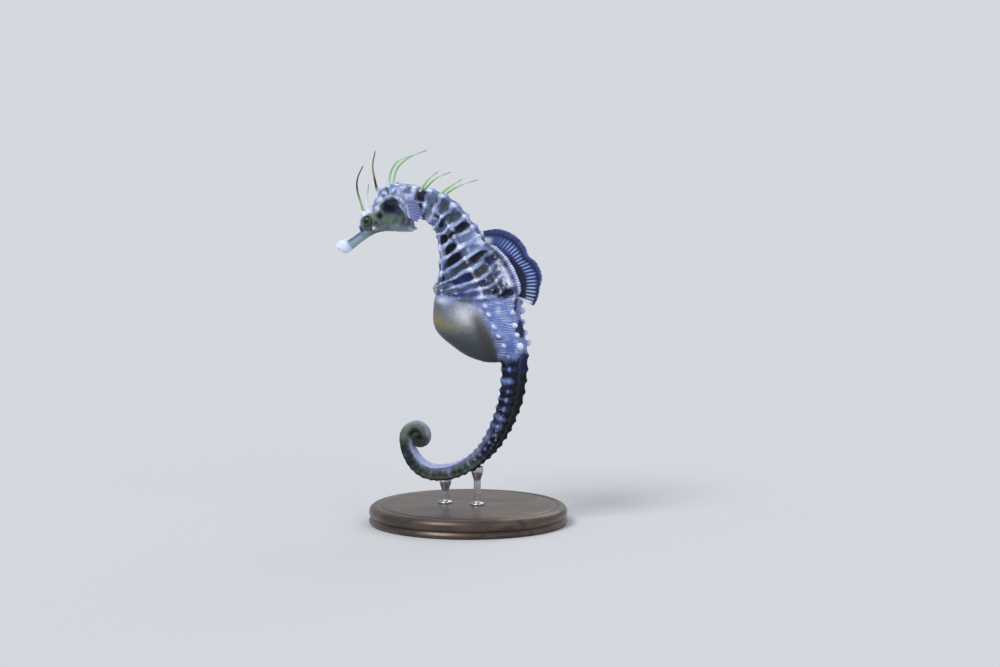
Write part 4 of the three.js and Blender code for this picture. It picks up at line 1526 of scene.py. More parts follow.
        coat.lay(0.7 * ease(0.35, 0.85, frost) * pale * trunk, Tone.BONE)
        nape = ease(11, 5, s) * (1 - coat.marked)
        coat.lay(0.4 * nape * ease(-0.3, 0.5, self.noise(2.2, 39)), Tone.GREY)
        coat.lay(0.45 * nape * ease(0.05, 0.6, self.noise(1.8, 34)), Tone.OLIVE)
        coat.lay(0.5 * nape * ease(-0.1, 0.7, self.noise(1.6, 47)), Tone.BONE)
        coat.lay(0.95 * ease(0.35, 0.8, self.knob) * (1 - 0.6 * coat.marked) * trunk, Tone.BONE)
        coat.lay(0.5 * ease(0.2, 0.08, share) * ease(36, 26, s) * ease(8, 12, s), Tone.NETWORK)
        for number, place, rings, wide in self.pale_patches:
            patch = bell((ring - number) / rings, 1.0) * bell((share - place) / wide, 1.0)
            grainy = 0.3 * self.noise(1.8, 27) + 0.3 * self.noise(0.8, 62)
            coat.lay(0.9 * ease(0.25, 0.8, patch + grainy) * ease(0.08, 0.3, patch), Tone.BONE)
        dots = ease(0.5, 0.72, self.noise(0.62, 53)) * ease(40, 48, s) * ease(0.6, 0.4, share)
        coat.lay(0.6 * dots * trunk * (1 - 0.7 * coat.marked), Tone.BONE)
        clump = ease(0.35, 0.75, self.noise(4.2, 49)) * (1 - coat.marked)
        coat.lay((0.7 * clump + 0.5 * pale_plate * (1 - coat.marked)) * trunk, Tone.NETWORK)
        coat.lay(0.5 * clump * ease(0.0, 0.5, self.noise(1.4, 50)) * trunk, Tone.BONE)
        belt = ease(10.0, 10.8, ring) * ease(12.6, 12.0, ring) * ease(0.3, 0.5, share)
        coat.lay((0.4 + 0.5 * self.noise(2.4, 63)) * belt * (1 - 0.6 * self.lines), Tone.HIP_LINE)
        base = ease(-0.3, 0.5, self.over_back) * ease(38, 40, s) * ease(60, 58, s)
        coat.lay(0.75 * base, Tone.HIP)
        coat.lay(0.7 * bell(self.over_back + 0.1, 0.45) * ease(37, 39, s) * ease(56, 48, s), Tone.FIN_ROOT)
        coat.lay(ease(0.22, 0.6, self.fin_bead), Tone.BONE)
        coat.lay(0.9 * base * ease(0.7, 0.4, np.abs(self.points[:, 1])), Tone.FIN_ROOT)

    def blotch_mask(self, blotch: Mark, share: Array, soft: Array) -> Array:
        """Where a blotch lies, with a soft uneven edge.

        Args:
            blotch: the blotch.
            share: share round the body of each point.
            soft: unevenness of the edge.

        Returns:
            1 inside and 0 outside.
        """
        rings = np.abs(self.ring - blotch.along) / blotch.half_along
        reach = np.abs(share - blotch.across) / blotch.half_across
        return ease(1.32, 0.95, (rings**2.3 + reach**2.3) ** (1 / 2.3) + 0.3 * soft)

    def paint_hip(self, coat: Coat) -> None:
        """Violet hip with fine wavy lines and white knobs.

        Args:
            coat: the skin's coat.
        """
        s, share = self.s, self.share
        edge = s + 2.0 * self.noise(3.0, 25)
        hip = ease(57, 63, edge) * ease(90, 83, edge)
        coat.lay(0.9 * hip * (1 - coat.marked), Tone.HIP)
        broken = 0.65 + 0.35 * ease(-0.5, 0.5, self.noise(2.2, 23))
        coat.lay(broken * hip * ease(0.0, 1.0, -self.ripple) * (1 - coat.marked), Tone.HIP_LINE)
        coat.lay(0.75 * hip * ease(-0.2, 0.3, self.noise(2.6, 60)) * ease(0.3, 1.0, self.ripple), Tone.BONE)
        coat.lay(0.45 * hip * ease(0.1, 0.8, self.noise(4.0, 24)), Tone.BONE)
        coat.lay(0.6 * hip * ease(0.2, 0.9, self.noise(5.0, 28)) * (share > 0.3), Tone.HIP_LINE)
        strip = ease(0.1, 0.03, share) * ease(57, 60, s) * ease(70, 64, s)
        coat.lay(0.95 * strip, Tone.FIN_ROOT)
        coat.lay(0.5 * hip * ease(0.75, 0.95, share), Tone.POUCH_BROWN)
        coat.lay(0.9 * hip * ease(0.25, 0.95, self.knob), Tone.BONE)

    def paint_tail(self, coat: Coat) -> None:
        """Dark banded tail with a black back, pale inner face and olive side, and the greenish curl; its pale
        outer edge is partly a painted highlight and its dark inside partly painted shade.

        Args:
            coat: the skin's coat.
        """
        s, share, ring = self.s, self.share, self.ring
        tail = ease(82, 89, s + 2.0 * self.noise(2.0, 35) * ease(80, 86, s))
        fade = 1 - ease(168, 180, s)
        coat.lay(tail * (1 - coat.marked), Tone.TAIL_SIDE)
        olive = tail * ease(126, 140, s) * ease(0.2, 0.3, share)
        coat.lay(0.9 * olive, Tone.TAIL_OLIVE)
        crest = ease(0.35, 0.9, self.crest * self.beading)
        lower = ease(0.2, 0.36, share) * (0.75 + 0.5 * self.noise(3.0, 29))
        coat.lay(0.5 * tail * crest * lower * fade * ramp(s, (120, 1), (132, 0.45)), Tone.TAIL_CREST)
        coat.lay(0.9 * tail * ease(0.3, 0.85, self.knob) * lower * fade * ease(150, 120, s), Tone.HIP)
        for number, strength in self.tail_bands:
            wide = 0.26 if number < 28 else 0.17
            band = bell(ring - number + 0.2 * self.noise(2.4, 30), wide) * ease(0.25, 0.5, share)
            coat.lay(0.85 * strength * tail * band, Tone.HIP)
        fleck = ease(0.45, 0.8, self.noise(1.1, 31)) * ease(100, 110, s) * fade
        coat.lay(0.35 * tail * fleck * (share > 0.3), Tone.TAIL_INNER)
        valley = ease(0.5, 0.1, self.crest) * ease(118, 132, s) * fade
        coat.lay((0.22 + 0.4 * self.noise(2.4, 51)) * valley, Tone.TAIL_SIDE)
        narrow = 0.08 * ease(156, 168, s)
        inner = ease(0.52, 0.84, share - narrow + 0.07 * self.noise(2.0, 55)) * ease(112, 130, s)
        coat.lay(0.92 * inner * ease(180, 173, s), Tone.TAIL_INNER)
        back = ease(0.31, 0.22, share) * ease(94, 102, s) * ease(172, 152, s)
        coat.lay(0.95 * back, Tone.TAIL_BACK)
        for saddle in self.saddles:
            coat.lay(saddle.strength * self.blotch_mask(saddle, share, self.noise(1.6, 8)), saddle.tone)
        curl = ease(171, 179, s)
        patch = 0.12 * self.noise(2.2, 58)
        riser = ease(158, 166, s) * ease(180, 174, s)
        coat.lay(0.8 * riser * ease(0.7, 0.5, share + patch), Tone.TAIL_SIDE)
        violet = ease(-0.1, 0.6, self.noise(2.4, 64)) * ease(0.55, 0.35, share + patch)
        coat.lay(0.45 * riser * violet, Tone.TAIL_CREST)
        coat.lay(0.5 * ease(132, 142, s) * ease(160, 150, s) * ease(0.3, 0.2, share), Tone.TAIL_SIDE)
        coat.lay(0.85 * curl * ease(0.8, 0.6, share), Tone.CURL)
        # pale outer edge of the curl: partly its own tone, partly a painted highlight where light falls
        coat.lay(0.45 * ease(175, 183, s) * ease(0.4, 0.16, share + patch), Tone.TAIL_INNER)
        # darker inner side and tip of the curl: partly the tail's own dark tone, partly painted shade inside
        # the coil
        coat.lay(0.85 * ease(171, 178, s) * ease(0.5, 0.72, share + patch), Tone.CURL_END)
        coat.lay(0.6 * ease(184, 190, s) * ease(0.26, 0.5, share + patch), Tone.CURL_END)
        coat.lay(0.85 * ease(188.5, 192.5, s), Tone.CURL_END)

    def paint_pouch(self, coat: Coat) -> None:
        """Smooth grey pouch with a painted highlight on its shoulder, painted shade low down and brown
        painted shade in its fold, with a yellow tint at the front.

        Args:
            coat: the skin's coat.
        """
        x, y, z = self.points.T
        pouch = self.on_pouch
        side = np.abs(y) / 10
        coat.lay(pouch, Tone.POUCH)
        # painted shade: the pouch darker towards its underside, away from the light from above
        coat.lay(0.9 * pouch * ease(87, 77.5, z + 1.5 * self.noise(5.0, 36)), Tone.POUCH_LOW_SHADE)
        # painted highlight: a pale pool of light on the upper flank of the pouch
        painted_highlight = bell(np.hypot((x - 3.4) / 6.6, (z - 90.2) / 4.6), 1.0)
        coat.lay(0.95 * pouch * painted_highlight, Tone.POUCH_HIGHLIGHT)
        top = ease(91.5, 98.5, z + 2.4 * self.noise(4.0, 32))
        coat.lay(0.85 * pouch * top, Tone.HIP)
        coat.lay(0.7 * pouch * bell(np.hypot((x + 9.0) / 3.0, (z - 95.5) / 1.6), 1.0), Tone.BONE)
        front = bell(np.hypot((x + 11.6) / 5.8, (z - 87.0 + 0.25 * (x + 12)) / 2.8), 1.0)
        below = bell(np.hypot((x + 5.5) / 6.5, (z - 85.0) / 2.6), 1.0)
        coat.lay(0.3 * pouch * below, Tone.YELLOW)
        flank = ease(1.5, 5.0, np.abs(y)) * (1 + 0.5 * self.noise(3.0, 65))
        coat.lay((0.15 + 0.5 * flank) * pouch * front, Tone.YELLOW)
        # painted shade, brown, in the crease where the pouch meets the hip
        fold = bell(x - 8.2 - 0.35 * (84 - z), 2.8) * ease(0.35, 0.7, side + 0.3 * ease(85, 75, z))
        coat.lay(0.75 * pouch * fold * ease(94, 88, z), Tone.POUCH_BROWN)
        coat.lay(0.2 * pouch * ease(0.1, 0.9, self.noise(3.4, 10)), Tone.POUCH_BROWN)

    def paint_head(self, coat: Coat) -> None:
        """Pale snout and crown, olive cheek, dark spots and bright ridges, with a brow knob that is partly a
        painted highlight and a painted shadow under it.

        Args:
            coat: the skin's coat.
        """
        t, h, y = self.place.T
        head = self.on_head
        layer = Coat(len(t), Tone.NETWORK)
        uneven = self.noise(2.6, 38)
        layer.lay(0.9 * ease(8.0, 4.5, h + 1.8 * uneven) * ease(13, 17, t), Tone.CHEEK)
        layer.lay(0.45 * ease(-0.3, 0.5, self.noise(2.2, 39)) * ease(4, 7, h), Tone.GREY)
        layer.lay(0.7 * ease(0.0, 0.6, self.noise(1.6, 47)) * ease(3, 6, h), Tone.BONE)
        layer.lay(0.4 * ease(0.1, 0.7, self.noise(1.2, 40)) * ease(15, 19, t), Tone.CHEEK_PALE)
        layer.lay(0.8 * ease(-3.0, -6.5, h + 0.9 * uneven), Tone.CHIN)
        layer.lay(0.7 * ease(20, 14, t) * ease(0.5, -1.5, h), Tone.JAW)
        tube = ease(5.6, 7.2, t) * ease(15.5, 12.5, t)
        layer.lay(0.95 * tube, Tone.SNOUT)
        layer.lay(0.95 * tube * ease(0.55, -0.6, h), Tone.JAW)
        layer.lay(0.3 * tube * ease(0.1, 0.7, self.noise(1.6, 43)) * ease(-1, 0, h), Tone.CHEEK)
        layer.lay(0.85 * tube * ease(0.8, 1.6, h), Tone.BONE)
        layer.lay(ease(6.9, 4.9, t + 0.5 * uneven), Tone.BONE)
        layer.lay(0.85 * ease(12.0, 14.0, t) * ease(16.5, 14.8, t) * ease(2.8, 4.0, h), Tone.BONE)
        soft = 0.45 * self.noise(1.4, 11) + 0.25 * self.noise(0.7, 12)
        speckle = ease(0.35, 0.8, self.noise(0.8, 13))
        layer.lay(0.45 * speckle * ease(14, 18, t) * ease(9, 5, h), Tone.OLIVE)
        side = ease(1.0, 2.0, y)
        for mark in self.head_marks:
            off = np.hypot((t - mark.along) / mark.half_along, (h - mark.across) / mark.half_across)
            mask = mark.strength * ease(1.4, 0.65, off + 0.3 * soft) * side
            layer.lay(mask, mark.tone)
            layer.mark(mask)
        layer.lay(np.clip(self.ridge_shine, 0, 1), Tone.BONE)
        away = np.hypot(t - self.eye[0], h - self.eye[1])
        layer.lay(0.35 * bell(away - self.eye_rim, 0.5) * side, Tone.CHEEK_PALE)
        # white knob of the brow: its own pale tone, partly brightened as a painted highlight
        layer.lay(1.6 * bell(np.hypot((t - 20.2) / 1.3, h - 6.8), 1.6), Tone.BONE)
        # painted shadow under the brow knob, above the eye
        layer.lay(0.6 * bell(np.hypot((t - 20.6) / 2.0, h - 5.0), 0.55) * side, Tone.OLIVE)
        layer.lay(0.9 * bell(np.hypot(t - 20.4, h + 1.2), 0.75) * side, Tone.BONE)
        layer.lay(0.7 * ease(10.6, 11.6, h), Tone.BONE)
        coat.merge(head, layer)


# Eyes


@dataclass
class Eyes(Piece):
    """Two eyeballs set in the rims of the skin, with a small pupil and a spotted iris."""

    head: HeadForm = HeadForm()
    centre: Triple = (19.5, 2.9, 3.1)
    radius: float = 2.5
    pupil: float = 0.42
    iris: float = 1.02
    spots: int = 9
    rows: int = 60
    sides: int = 72
    finish: Wet = Wet("eye", cell=2600.0, cloud=0.25, pale_specks=0.1, dark_specks=0.2, rough=0.3, coat=0.3,
                      grain_depth=0.02)

    def build(self, group: Tree) -> None:
        """Makes both eyes.

        Args:
            group: the living skin group.
        """
        material = self.finish.make(group)
        for name, side in (("left", -1), ("right", 1)):
            self.tie(self.ball(f"eye_{name}", side), material, [f"eye_{name[0]}"], "eye")

    def ball(self, name: str, side: int) -> Object:
        """Makes one eyeball.

        Args:
            name: name of the piece.
            side: -1 for the left and 1 for the right.

        Returns:
            The eyeball.
        """
        t, h, y = self.centre
        centre = self.head.world(np.array([(t, h, y * side)]))[0]
        gaze = unit(np.array([-0.16, side, 0.06]))
        up = unit(np.cross(gaze, [1.0, 0.0, 0.0]))
        across = np.cross(gaze, up)
        polar, turn = all_pairs(np.linspace(0.02, math.pi - 0.02, self.rows), turns(self.sides))
        swell = self.radius * (1 + 0.045 * bell(polar, 0.45))
        circle = np.cos(turn)[:, None] * up + np.sin(turn)[:, None] * across
        points = centre + (swell * np.cos(polar))[:, None] * gaze + (swell * np.sin(polar))[:, None] * circle
        piece = new_piece(name, points.reshape(self.rows, self.sides, 3))

        coat = Coat(len(points), Tone.IRIS)
        wave = 0.5 * mottle(points, 1.0, 21)
        spoke = 0.5 + 0.5 * np.cos(self.spots * turn + 2.2 * wave)
        coat.lay(0.75 * ease(0.5, 0.9, spoke) * ease(0.5, 0.75, polar + 0.1 * wave), Tone.BROWN)
        coat.lay(0.3 * ease(0.3, 0.9, mottle(points, 0.35, 22)), Tone.CHEEK_PALE)
        coat.lay(ease(self.iris - 0.08, self.iris + 0.1, polar), Tone.OLIVE)
        coat.lay(0.35 * ease(0.2, 0.7, mottle(points, 0.9, 45)), Tone.CHEEK_PALE)
        coat.lay(0.8 * ease(0.3, 0.7, mottle(points, 1.1, 46)) * (polar > 0.35), Tone.NIGHT)
        coat.lay(0.5 * bell(polar - self.pupil - 0.06, 0.06), Tone.IRIS_GOLD)
        coat.lay(ease(self.pupil + 0.1, self.pupil - 0.04, polar), Tone.PUPIL)
        give_colours(piece.data, "tone", coat.colours)
        return piece


# Fins


@dataclass
class RayFin(Piece):
    """Thin fin of soft rays between a foot line and an outer edge."""

    name: str = "fin"
    node: str = "fin"
    slot: str = "fin"
    rays: int = 15
    steps: int = 10
    out_steps: int = 40
    veil: float = 0.05
    ray: float = 0.07
    pleat: float = 0.03
    sway: float = 0.0
    scallop: float = 0.012

    def foot_at(self, share: Array) -> Array:
        """Points of the foot line at shares along the fin."""
        raise NotImplementedError

    def edge_at(self, share: Array) -> Array:
        """Points of the outer edge at shares along the fin."""
        raise NotImplementedError

    def tones(self, coat: Coat, along: Array, out: Array, ray: Array) -> Array:
        """Lays the fin's tones on and gives how solid each point is.

        Args:
            coat: the fin's coat.
            along: share along the foot.
            out: share of the way to the edge.
            ray: 1 on a ray and 0 between rays.

        Returns:
            The alpha of each point.
        """
        raise NotImplementedError

    def build(self, material: Material) -> None:
        """Makes the fin.

        Args:
            material: finish of the fin.
        """
        count, deep = self.rays * self.steps + 1, self.out_steps + 1
        share = np.linspace(0.0, 1.0, count)
        foot, edge = self.foot_at(share), self.edge_at(share)
        run = self.foot_at(np.minimum(share + 0.02, 1)) - self.foot_at(np.maximum(share - 0.02, 0))
        side = unit(np.cross(edge - foot, run))
        along, out = np.meshgrid(share, np.linspace(0.0, 1.0, deep), indexing="ij")
        ray = (0.5 - 0.5 * np.cos(2 * math.pi * along * self.rays)) ** 3
        reach = out * (1 - self.scallop * (1 - ray) * out**5)
        bend = self.sway * np.sin(along * 2.5 * math.pi) * out
        bend += self.pleat * np.cos(math.pi * along * self.rays) * out
        middle = foot[:, None] + (edge - foot)[:, None] * reach[..., None] + side[:, None] * bend[..., None]
        half = self.veil + self.ray * ray * (1 - 0.85 * out)
        half[:, -1] *= 0.3
        faces = [middle + sign * side[:, None] * half[..., None] for sign in (1, -1)]
        piece = new_piece(self.name, np.concatenate([faces[0], faces[1][:, ::-1]], axis=1))

        both = [np.concatenate([grid, grid[:, ::-1]], axis=1).ravel() for grid in (along, out, ray)]
        coat = Coat(len(both[0]), Tone.FIN_VEIL)
        give_values(piece.data, "body", self.tones(coat, *both))
        give_colours(piece.data, "tone", coat.colours)
        self.tie(piece, material, [self.node], self.slot)


@dataclass
class DorsalFin(RayFin):
    """Large fan on the back of the trunk: dark veil, pale rays and a violet margin."""

    name: str = "dorsal_fin_rays"
    node: str = "dorsal_fin"
    slot: str = "fin"
    rays: int = 27
    steps: int = 12
    out_steps: int = 56
    sway: float = 0.7
    sunk: float = 1.3
    foot_share: float = 0.28
    form: BodyForm = BodyForm()
    stretch: tuple[float, float] = (38.5, 59.0)
    edge: Rows = (
        (6.6, 124.6), (13.6, 125.6), (20.5, 123.2), (25.2, 118.8), (27.0, 115.0), (30.6, 112.0),
        (32.8, 106.5), (31.6, 101.0), (30.6, 96.8), (28.8, 93.7))

    def foot_at(self, share: Array) -> Array:
        """Finds the foot line, a little under the middle of the back.

        Args:
            share: shares along the fin.

        Returns:
            One point for each share.
        """
        first, last = self.stretch
        s = np.minimum(first + share * (last - first), self.form.trunk_end - 0.01)
        return self.form.back_line(s, self.sunk)[0]

    def edge_at(self, share: Array) -> Array:
        """Finds the crest, evenly spaced from its front foot to the last ray.

        Args:
            share: shares along the fin.

        Returns:
            One point for each share.
        """
        line = through(np.array([(x, 0.0, z) for x, z in self.edge]), np.linspace(0, 1, 300))
        run = np.append(0.0, np.cumsum(np.linalg.norm(np.diff(line, axis=0), axis=1)))
        return np.stack([np.interp(share * run[-1], run, line[:, part]) for part in range(3)], 1)

    def tones(self, coat: Coat, along: Array, out: Array, ray: Array) -> Array:
        """Lays a dark root, pale middles of the rays, a dark line and the violet margin on.

        Args:
            coat: the fin's coat.
            along: share along the foot.
            out: share of the way to the edge.
            ray: 1 on a ray and 0 between rays.

        Returns:
            The alpha of each point.
        """
        place = np.stack([along * 40, out * 8, 0 * out], 1)
        blur = 0.04 * mottle(place, 2.5, 41)
        clear = (out - self.foot_share) / (1 - self.foot_share) + blur
        rib = ease(0.12, 0.62, ray)
        inner = ramp(along, (0, 0.1), (0.3, 0.16), (0.6, 0.3), (1, 0.3))
        outer = ramp(along, (0, 0.4), (0.3, 0.55), (0.6, 0.66), (1, 0.84))
        end = clear + 0.035 * np.sin(2.3 * np.floor(along * self.rays + 0.5))
        band = ease(inner - 0.1, inner + 0.12, clear) * ease(outer + 0.12, outer - 0.14, end)
        coat.lay(0.75 * ease(0.6, 0.25, along) * ease(0.7, 0.4, clear), Tone.FIN_MARGIN)
        coat.lay(0.3 * band, Tone.FIN_MARGIN)
        coat.lay(0.9 * band * rib * ease(0.12, 0.38, along), Tone.FIN_RAY)
        coat.lay(0.6 * band * rib * ease(0.7, 0.9, along), Tone.STALK)
        coat.lay(0.8 * ease(inner, inner - 0.1, clear) * ease(0.2, 0.5, along), Tone.FIN_ROOT)
        coat.lay(0.65 * bell(clear - outer - 0.12, 0.09), Tone.FIN_ROOT)
        margin = ease(outer + 0.13, outer + 0.27, clear)
        streak = mottle(place * [1.6, 0.5, 0], 1.2, 56)
        bright = ramp(along, (0, 0.1), (0.25, 0.15), (0.38, 0.6), (0.7, 0.7), (1, 0.5))
        coat.lay((bright + 0.3 * streak + 0.12 * rib) * margin, Tone.FIN_MARGIN)
        coat.lay((0.4 + 0.4 * streak) * ease(0.92, 1.0, out), Tone.HIP)
        coat.lay(0.8 * ease(0.16, 0.04, along) * ease(0.62, 0.4, out), Tone.BONE)
        coat.lay(0.9 * ease(0.958, 0.975, along) * ease(0.95, 0.7, out), Tone.BONE)
        return 0.97 - 0.07 * margin - 0.05 * (1 - rib) * (out > 0.3)


@dataclass
class LineFin(RayFin):
    """Small fin whose foot and edge are given by a few points."""

    foot: Rows | Array = ()
    edge: Rows | Array = ()
    veil_tone: Tone = Tone.PECTORAL
    ray_tone: Tone = Tone.PECTORAL_RAY

    def foot_at(self, share: Array) -> Array:
        """Points of the foot line."""
        return through(self.foot, share)

    def edge_at(self, share: Array) -> Array:
        """Points of the outer edge."""
        return through(self.edge, share)

    def tones(self, coat: Coat, along: Array, out: Array, ray: Array) -> Array:
        """Lays an even veil with pale rays and a pale foot on.

        Args:
            coat: the fin's coat.
            along: share along the foot.
            out: share of the way to the edge.
            ray: 1 on a ray and 0 between rays.

        Returns:
            The alpha of each point.
        """
        coat.lay(np.full(len(out), 0.9), self.veil_tone)
        coat.lay(0.85 * ease(0.3, 0.8, ray) * (1 - 0.45 * out), self.ray_tone)
        coat.lay(0.7 * ease(0.3, 0.15, out), self.ray_tone)
        coat.lay(0.6 * ease(0.2, 0.05, along), self.ray_tone)
        return 0.92 - 0.3 * ease(0.3, 1.0, out) * (1 - ray)


@dataclass
class Fins:
    """All fins of the animal."""

    finish: Wet = Wet("fin_veil", cell=1500.0, cloud=0.25, pale_specks=0.1, dark_specks=0.1, rough=0.34,
                      coat=0.1, grain_depth=0.04, see_through=True)
    pectoral_foot: Rows = ((-28.0, 3.1, 137.3), (-27.1, 3.4, 133.4), (-25.4, 3.3, 129.4))
    pectoral_edge: Rows = (
        (-23.4, 6.4, 137.8), (-20.2, 7.3, 136.6), (-18.6, 7.6, 134.0), (-18.5, 7.5, 131.0),
        (-19.9, 6.8, 127.9))
    anal_foot: Rows = ((-9.0, 0, 103.5), (-9.0, 0, 96.5))
    anal_edge: Rows = ((-13.6, 0, 102.8), (-15.7, 0, 99.4), (-14.7, 0, 96.6))

    def build(self, group: Tree) -> None:
        """Makes every fin.

        Args:
            group: the living skin group.
        """
        material = self.finish.make(group)
        DorsalFin().build(material)
        for name, side in (("left", -1), ("right", 1)):
            foot, edge = (np.array(line) * [1, side, 1] for line in (self.pectoral_foot, self.pectoral_edge))
            LineFin(name=f"pectoral_rays_{name}", node=f"pectoral_fin_{name[0]}", rays=16,
                    foot=foot, edge=edge, ray=0.1, scallop=0.05).build(material)
        LineFin(name="anal_rays", node="anal_fin", slot="fin_pale", rays=4, foot=self.anal_foot,
                edge=self.anal_edge, veil_tone=Tone.CHIN, ray_tone=Tone.BONE).build(material)


# Skin filaments


class Stripe(Enum):
    """How the tone of a filament changes from root to tip, as (share, tone) stops."""

    LEAFY = (
        (0.0, Tone.BONE), (0.12, Tone.STALK), (0.3, Tone.LEAF), (0.5, Tone.LEAF), (0.75, Tone.STALK),
        (1.0, Tone.CHIN))
    DARK_TIPPED = (
        (0.0, Tone.BONE), (0.12, Tone.LEAF), (0.36, Tone.LEAF), (0.5, Tone.OLIVE), (0.6, Tone.TIP_DARK),
        (1.0, Tone.TIP_DARK))
    PALE = ((0.0, Tone.BONE), (0.5, Tone.BONE), (0.75, Tone.STALK), (1.0, Tone.CHIN))
    BANDED = (
        (0.0, Tone.STALK), (0.2, Tone.OLIVE), (0.36, Tone.TIP_DARK), (0.48, Tone.YELLOW),
        (0.62, Tone.YELLOW), (1.0, Tone.OLIVE))


@dataclass
class Filaments(Piece):
    """Soft skin threads over the eyes, on the coronet, the nape and the neck."""

    root: float = 0.66
    stem: float = 0.52
    tip: float = 0.2
    sides: int = 14
    steps: int = 44
    finish: Wet = Wet("skin_thread", cell=1800.0, cloud=0.25, pale_specks=0.2, dark_specks=0.15, rough=0.4,
                      coat=0.1, grain_depth=0.04)
    # The skin threads from root to tip. Pairs are given for the left and the right.
    paths: tuple[tuple[str, Stripe, Rows], ...] = (
        ("eye_l", Stripe.DARK_TIPPED,
         ((-44.8, -3.0, 129.5), (-46.0, -3.5, 133.5), (-47.6, -4.5, 140.2), (-47.2, -5.2, 145.5),
          (-44.6, -5.4, 151.0))),
        ("eye_r", Stripe.PALE,
         ((-44.8, 3.0, 129.5), (-46.0, 3.5, 133.0), (-46.3, 4.4, 137.0), (-45.8, 4.9, 142.0))),
        ("coronet_front", Stripe.BANDED,
         ((-40.0, 0, 138.6), (-41.2, 0, 143.5), (-42.3, 0, 150.2), (-41.1, 0, 156.8))),
        ("coronet_l", Stripe.LEAFY,
         ((-34.6, -1.8, 141.0), (-33.3, -2.4, 148.4), (-29.4, -2.9, 153.4), (-23.2, -3.2, 155.6))),
        ("coronet_r", Stripe.LEAFY,
         ((-34.4, 1.8, 141.0), (-32.2, 2.4, 149.2), (-26.8, 2.9, 154.2), (-19.1, 3.2, 157.4))),
        ("nape_l", Stripe.LEAFY,
         ((-21.5, -1.9, 138.8), (-19.0, -2.4, 142.6), (-15.9, -2.8, 146.4), (-12.1, -3.4, 149.2))),
        ("nape_r", Stripe.LEAFY,
         ((-21.5, 1.9, 138.8), (-18.6, 2.4, 142.4), (-14.2, 2.8, 146.2), (-8.6, 3.4, 148.5))),
        ("neck_l", Stripe.LEAFY,
         ((-13.5, -2.0, 137.4), (-9.6, -2.4, 141.1), (-5.5, -2.9, 144.0), (-1.1, -3.5, 146.7))),
        ("neck_r", Stripe.LEAFY,
         ((-13.0, 2.0, 136.6), (-9.2, 2.4, 140.2), (-3.8, 2.9, 143.3), (3.3, 3.5, 145.6))),
    )

    def build(self, group: Tree) -> None:
        """Makes every filament.

        Args:
            group: the living skin group.
        """
        material = self.finish.make(group)
        for name, stripe, path in self.paths:
            piece = self.thread(f"thread_{name}", stripe, np.array(path, float))
            self.tie(piece, material, [f"filament_{name}"], "filament")

    def thread(self, name: str, stripe: Stripe, path: Array) -> Object:
        """Makes one thread, flared at its root and a little flat.

        Args:
            name: name of the piece.
            stripe: how its tone changes.
            path: its points from root to tip.

        Returns:
            The thread.
        """
        share = np.linspace(0.0, 1.0, self.steps)
        centre = through(path, share)
        run = unit(np.gradient(centre, axis=0))
        up = unit(np.cross(run, [0.0, 1.0, 0.0]))
        out = np.cross(up, run)
        radius = self.stem + (self.tip - self.stem) * share**1.5 + (self.root - self.stem) * bell(share, 0.25)
        radius *= 1 + 0.06 * np.sin(share * 40) * (1 - share)
        radius[-1] *= 0.4
        angle = turns(self.sides)
        rows = centre[:, None] + radius[:, None, None] * (
            np.cos(angle)[None, :, None] * up[:, None] + 0.8 * np.sin(angle)[None, :, None] * out[:, None])
        piece = new_piece(name, rows)
        places = [stop for stop, _ in stripe.value]
        tones = np.array([tone.linear for _, tone in stripe.value])
        wander = share + 0.03 * np.sin(share * 23 + len(name))
        line = np.stack([np.interp(wander, places, tones[:, part]) for part in range(3)], 1)
        rim = 0.7 * np.abs(np.cos(angle))[None, :, None] ** 3 * (stripe is Stripe.LEAFY)
        rim = rim * (1 - share)[:, None, None]
        tinted = line[:, None] + rim * (Tone.BONE.linear - line[:, None])
        give_colours(piece.data, "tone", tinted.reshape(-1, 3))
        return piece


# The display stand


@dataclass(frozen=True)
class Wood:
    """Dark turned wood with an even satin polish. Its figure and pores run long along the grain."""

    dark: Colour = (0.018, 0.010, 0.006, 1.0)
    light: Colour = (0.075, 0.040, 0.022, 1.0)
    figure: Triple = (12.0, 160.0, 160.0)
    pores: Triple = (250.0, 2600.0, 2600.0)

    def make(self, wear: Tree) -> Material:
        """Makes the material.

        Args:
            wear: the light wear group.

        Returns:
            The material.
        """
        finish = Finish("turned_wood")
        figure = finish.noise(finish.stretched(self.figure), 1.0, Detail=6.0, Distortion=0.8)
        pore = finish.noise(finish.stretched(self.pores), 1.0, Detail=2.0)
        pit = finish.range(pore, 0.6, 0.72)
        tone = finish.blend(finish.range(figure, 0.32, 0.68), self.dark, self.light)
        tone = finish.blend(finish.times(pit, 0.6), tone, self.dark)
        finish.wear(wear, tone, cell=55.0, dust=0.06, rough=0.34)
        finish.set("Coat Weight", 0.35)
        finish.set("Coat Roughness", 0.22)
        finish.bump(finish.sum("SUBTRACT", figure, finish.times(pit, 0.5)), 0.4, 0.08 * MM)
        return finish.material


@dataclass(frozen=True)
class BrushedSteel:
    """Stainless rod, with brush strokes that run round it."""

    tone: Colour = (0.56, 0.57, 0.58, 1.0)
    strokes: Triple = (300.0, 300.0, 9000.0)

    def make(self, wear: Tree) -> Material:
        """Makes the material.

        Args:
            wear: the light wear group.

        Returns:
            The material.
        """
        finish = Finish("brushed_steel")
        brush = finish.noise(finish.stretched(self.strokes), 1.0, Detail=3.0)
        tone = finish.shaded(self.tone, finish.range(brush, 0.3, 0.7, 0.8, 1.0))
        finish.wear(wear, tone, cell=400.0, dust=0.03, rough=0.26)
        finish.set("Metallic", 1.0)
        finish.bump(brush, 0.25, 0.03 * MM)
        return finish.material


def turned(outline: list[tuple[float, float]], sides: int, centre: tuple[float, float] = (0.0, 0.0)) -> Array:
    """Rows of a turned shape.

    Args:
        outline: radius and height of each row, from the foot up.
        sides: points round each row.
        centre: x and y of its axis.

    Returns:
        The points, as rows.
    """
    angle = turns(sides)
    return np.array([
        np.stack([centre[0] + r * np.cos(angle), centre[1] + r * np.sin(angle), np.full(sides, z)], 1)
        for r, z in outline])


